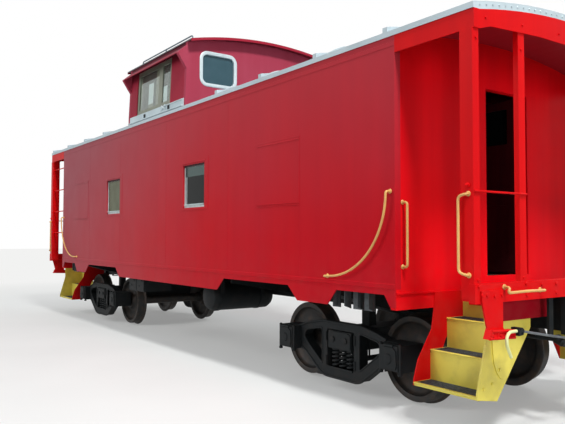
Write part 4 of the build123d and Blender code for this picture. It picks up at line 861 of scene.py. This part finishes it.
# Underframe fittings
# Pressed steel gussets beside each bolster, and plates between them with rivets in pairs, all fixed to
# the underside of the floor under grey paint.
# Old grey underbody paint: dark and flat, with lighter dust in patches of 170 mm
under_grey = plain_finish("grey_underbody_paint", "#33383c", "#4a4f52", 0.6, 0.1, 6)
gusset_outline = [(1.300, 0.930), (1.385, 0.960), (1.385, 1.165), (1.300, 1.165)]
gusset_half, plate_length, plate_y = 0.005, 0.110, (1.330, 1.342)
rivet_profile = [(0.014, 0), (0.014, 0.004), (0.008, 0.005)]
gussets = [plate(gusset_outline, "x", x - gusset_half, x + gusset_half) for x in (3.905, 4.060, 4.245, 4.400)]
for plate_start in (3.830, 4.140, 4.300):
    gussets.append(cuboid((plate_start, plate_start + plate_length), plate_y, (0.935, 1.165)))
    for z in (0.985, 1.045, 1.105):
        for x in (plate_start + 0.030, plate_start + 0.080):
            gussets.append(lathe(rivet_profile, (x, plate_y[1], z), (0, 1, 0), 10))
piece("bolster_gussets", copies(gussets, all_corners), under_grey, "car_body")


# Battery box
# A pressed steel box hung below the floor, under black paint. Its two doors hang on strap hinges with a
# bolt in each, and close with a bent wire handle.
door_face_y, strap_face_y, handle_y = -1.386, -1.390, -1.402
box_shapes = []
for x in (-1.395, -1.095):
    box_shapes.append(cuboid((x + 0.006, x + 0.286), (door_face_y, -1.380), (0.775, 1.150)))
    for z in (0.850, 1.070):
        box_shapes.append(cuboid((x + 0.010, x + 0.120), (strap_face_y, door_face_y), (z - 0.014, z + 0.014)))
        box_shapes.append(bolt((x + 0.100, strap_face_y, z), (0, -1, 0), 0.007, 0.005))
    box_shapes.append(round_bar([(x + 0.230, door_face_y, 0.930), (x + 0.230, handle_y, 0.935),
                                 (x + 0.230, handle_y, 0.985), (x + 0.230, door_face_y, 0.990)], 0.006, 0.01))
piece("battery_box_doors", box_shapes, cast_black, "car_body")


# Air reservoir and brake cylinder
# A welded steel tank with domed heads in two straps, and a cast cylinder with its push rod, under black
# paint. The train pipe runs the car's length and ends in an angle cock on hangers at each end.
tank_x, tank_z, tank_radius, strap_half = 1.000, 0.820, 0.2, 0.025
tank = [
    (0.02, -0.510), (0.11, -0.500), (0.17, -0.475), (0.197, -0.430), (0.199, -0.38), (0.203, -0.378),
    (0.203, -0.36), (0.199, -0.358), (0.199, 0.38), (0.197, 0.430), (0.17, 0.475), (0.11, 0.500),
    (0.02, 0.510),
]
strap = [(tank_radius, -strap_half), (tank_radius + 0.006, -strap_half),
         (tank_radius + 0.006, strap_half), (tank_radius, strap_half)]
air_shapes = [lathe(tank, (tank_x, -0.730, tank_z), (0, 1, 0), 40)]
for y in (-1.100, -0.450):
    air_shapes.append(lathe(strap, (tank_x, y, tank_z), (0, 1, 0), 40))
    for x in ((0.785, 0.815), (1.185, 1.203)):
        air_shapes.append(cuboid(x, (y - strap_half, y + strap_half), (tank_z, 1.170)))
cylinder_y, cylinder_z = 0.520, 0.860
cylinder = [(0.10, -0.300), (0.150, -0.290), (0.150, -0.262), (0.134, -0.258), (0.134, 0.235), (0.150, 0.240),
            (0.150, 0.268), (0.09, 0.290), (0.035, 0.300)]
air_shapes.append(lathe(cylinder, (0, cylinder_y, cylinder_z), (1, 0, 0), 32))
air_shapes.append(round_bar([(0.29, cylinder_y, cylinder_z), (0.30, cylinder_y, cylinder_z)], 0.02))
air_shapes.append(cuboid((-0.060, 0.060), (cylinder_y - 0.060, cylinder_y + 0.060), (0.980, 1.170)))
air_gear = piece("air_tank_and_cylinder", air_shapes, cast_black, "car_body")
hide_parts("air_brake_gear")
pipe_radius, stub_y, stub_z, cock_x = 0.021, -0.420, 0.760, 5.735
cock = [(0.030, 0), (0.034, 0.012), (0.034, 0.070), (0.026, 0.078), (0.026, 0.096)]
stubs = [
    round_bar([(5.02, stub_y, stub_z), (5.72, stub_y, stub_z)], pipe_radius),
    lathe(cock, (5.70, stub_y, stub_z), (1, 0, -0.35), 16),
    lathe([(0.014, 0), (0.014, 0.050), (0.008, 0.054)], (cock_x, stub_y, 0.750), (0, 0, 1), 12),
    round_bar([(cock_x, stub_y, 0.798), (cock_x, stub_y - 0.090, 0.800)], 0.007),
]
stubs += [cuboid((x, x + 0.024), (-0.450, -0.390), (0.745, 1.118)) for x in (5.040, 5.640)]
train_pipe = round_bar([(-5.62, 0.230, 0.860), (5.62, 0.230, 0.860)], pipe_radius)
piece("brake_pipes", [*copies(stubs, half_turn), train_pipe], cast_black, "car_body")


# Wheels and axles
# Rolled steel wheels pressed on a forged axle and turned as one piece: dished plates, a worn tread with
# its flange, and the journals outside the wheels that run in the boxes.
# Bare steel under brake dust: nearly black with a faint shine, and rust brown in patches of 90 mm
wheel_steel = plain_finish("wheel_steel", "#1d1c1b", "#3a2d24", 0.6, 0.25, 11, (0.42, 0.7), 0.001)
ends = {"near": 1, "far": -1}
truck_x, axle_half, axle_z = 3.600, 0.838, 0.444
# Half the section, as (radius, distance from the middle of the axle)
half_wheel = [
    (0.078, 0.0), (0.078, 0.56), (0.092, 0.60), (0.100, 0.655), (0.128, 0.660), (0.136, 0.672),
    (0.150, 0.705), (0.215, 0.722), (0.300, 0.712), (0.345, 0.692), (0.362, 0.664), (0.372, 0.660),
    (0.434, 0.660), (0.441, 0.664), (0.444, 0.672), (0.441, 0.681), (0.432, 0.689), (0.423, 0.697),
    (0.419, 0.708), (0.4155, 0.812), (0.410, 0.820), (0.368, 0.820), (0.358, 0.815), (0.348, 0.780),
    (0.320, 0.760), (0.240, 0.752), (0.170, 0.762), (0.148, 0.785), (0.140, 0.815), (0.132, 0.820),
    (0.086, 0.820), (0.078, 0.826), (0.0625, 0.845), (0.0625, 1.076), (0.055, 1.082),
]
full_wheel = [(radius, -reach) for radius, reach in reversed(half_wheel)] + half_wheel[1:]
for end_name, end in ends.items():
    for place, outward in (("outer", 1), ("inner", -1)):
        body_name = f"{end_name}_{place}_wheelset"
        centre = (end * (truck_x + outward * axle_half), 0, axle_z)
        turned = lathe(full_wheel, centre, (0, 1, 0), 72)
        wheels = piece(f"{body_name}_turned", [turned], wheel_steel, body_name, 40)
        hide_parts(body_name)


# Trucks
# Cast steel side frames with beaded flanges round their edges and openings, lidded journal boxes, and
# two rows of nested coil springs between the frame's seat and the bolster, all under dusty black paint.
def coil(place, radius, wire, height, turns, sides=8):
    """A spring of round wire on the helix (R cos t, R sin t, h t / 2 pi n), its ends laid flat."""
    along = np.linspace(0, 1, int(turns * 20) + 1)[:, None]
    turn = 2 * math.pi * turns * along
    level = np.clip((along * turns - 0.6) / (turns - 1.2), 0, 1)
    outward = np.concatenate([np.cos(turn), np.sin(turn), 0 * turn], axis=1)[:, None]
    upward = np.array((0, 0, 1))
    middle = np.asarray(place) + outward * radius + upward * (wire + (height - 2 * wire) * level)[:, None]
    section = np.linspace(0, 2 * math.pi, sides, endpoint=False)[None, :, None]
    return loft(middle + (outward * np.cos(section) + upward * np.sin(section)) * wire)


frame_edge = ((0.0, 0.130), (0.250, 0.130), (0.330, 0.152), (0.600, 0.350), (0.693, 0.385))
frame_top = ((0.693, 0.625), (0.560, 0.668), (0.330, 0.716), (0.0, 0.716))
frame_hole = ((0.300, 0.645), (0.590, 0.590), (0.640, 0.520), (0.560, 0.440), (0.300, 0.250))
bead_y = 1.048


def bead(points, radius, closed=False):
    """A rounded flange along (x, z) points on a side frame's outer face, x from the truck's middle."""
    route = [(x, bead_y, z) for x, z in points]
    if closed:
        middle = tuple((a + b) / 2 for a, b in zip(route[0], route[1]))
        route = [middle, *route[1:], route[0], middle]
    return round_bar(route, radius, 0.04, 8)


lid_y, hinge_y, box_bolt_y, box_bolt_z = 1.165, 1.160, 1.140, 0.352
# The lid's outline, as (distance from the axle, height)
lid_outline = (
    (-0.095, 0.392), (0.095, 0.392), (0.108, 0.430), (0.100, 0.560),
    (0.060, 0.592), (-0.060, 0.592), (-0.100, 0.560), (-0.108, 0.430),
)
quarter = [
    bead(frame_edge, 0.014),
    bead(frame_top, 0.014),
    bead(frame_hole, 0.010, True),
    plate([(axle_half + x, z) for x, z in lid_outline], "y", lid_y - 0.002, lid_y + 0.010),
    lathe([(0.052, 0), (0.044, 0.010), (0.020, 0.014)], (axle_half, lid_y + 0.010, 0.480), (0, 1, 0), 20),
    lathe([(0.014, -0.06), (0.014, 0.06)], (axle_half, hinge_y, 0.604), (1, 0, 0), 12),
    round_bar([(0.290, 0.900, 0.400), (0.290, 0.900, 0.640)], 0.010, sides=8),
]
for x in (axle_half - 0.128, axle_half + 0.128):
    foot = (x, box_bolt_y, box_bolt_z)
    quarter.append(lathe([(0.017, 0), (0.017, 0.270), (0.010, 0.276)], foot, (0, 0, 1), 10))
    quarter.append(bolt(foot, (0, 0, -1), 0.024, 0.020))
for z in (0.300, 0.560):
    quarter.append(round_bar([(0.232, 1.052, z - 0.05), (0.232, 1.052, z + 0.05)], 0.012, sides=8))
bolster_cap = [
    (-0.175, 0.452), (0.175, 0.452), (0.175, 0.600), (0.130, 0.622), (-0.130, 0.622), (-0.175, 0.600),
]
middle_parts = [
    plate(bolster_cap, "y", 1.055, 1.070),
    cuboid((-0.200, 0.200), (0.925, 1.062), (0.226, 0.244)),
]
for x in (-0.100, 0.100):
    middle_parts.append(lathe([(0.030, 0), (0.030, 0.010), (0.016, 0.016)], (x, 1.070, 0.540), (0, 1, 0), 16))
castings = copies(quarter, all_corners) + copies(middle_parts, both_sides)
seat_z, spring_height = 0.244, 0.196
coils = []
for side in (-1, 1):
    for x in (-0.118, 0.0, 0.118):
        for y in (0.990, 0.868):
            coils.append(coil((x, side * y, seat_z), 0.0455, 0.0125, spring_height, 5.2))
            coils.append(coil((x, side * y, seat_z), 0.0220, 0.0075, spring_height, 6.5))
for end_name, end in ends.items():
    body_name = f"{end_name}_truck"
    springs = piece(f"{body_name}_coils", copies(coils, ((1, 1),), end * truck_x), cast_black,
                    body_name)
    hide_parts(f"{body_name}_springs")
    piece(f"{body_name}_castings", copies(castings, ((1, 1),), end * truck_x), cast_black,
          body_name)
    finish_nodes(cast_black, [
        f"{body_name}_frames", f"{body_name}_bolster", f"{body_name}_brakes",
    ])
    round_edges([f"{body_name}_frames", f"{body_name}_bolster"], 0.006)


# Floor
# Tongued boards laid lengthwise and fixed to the underframe, worn and oiled by boots: brown with darker
# grain, which is drawn 370 mm long and 56 mm wide, coarser than real grain, so that it shows.
floor_wood, tree, coords = new_material("floor_boards")
lengthwise = add(tree, "Mapping", {"Vector": coords, "Scale": (0.15, 1, 1)})
grain = add(tree, "TexNoise", {"Vector": lengthwise, "Scale": 18, "Detail": 5})
shade = add(tree, "Mix", {share: grain, first_colour: linear("#3a3129"), second_colour: linear("#5b4c3e")},
            data_type="RGBA")
add(tree, "OutputMaterial", {"Surface": add(tree, "BsdfPrincipled", {"Base Color": shade, "Roughness": 0.7})})
finish_nodes(floor_wood, ["floor"])
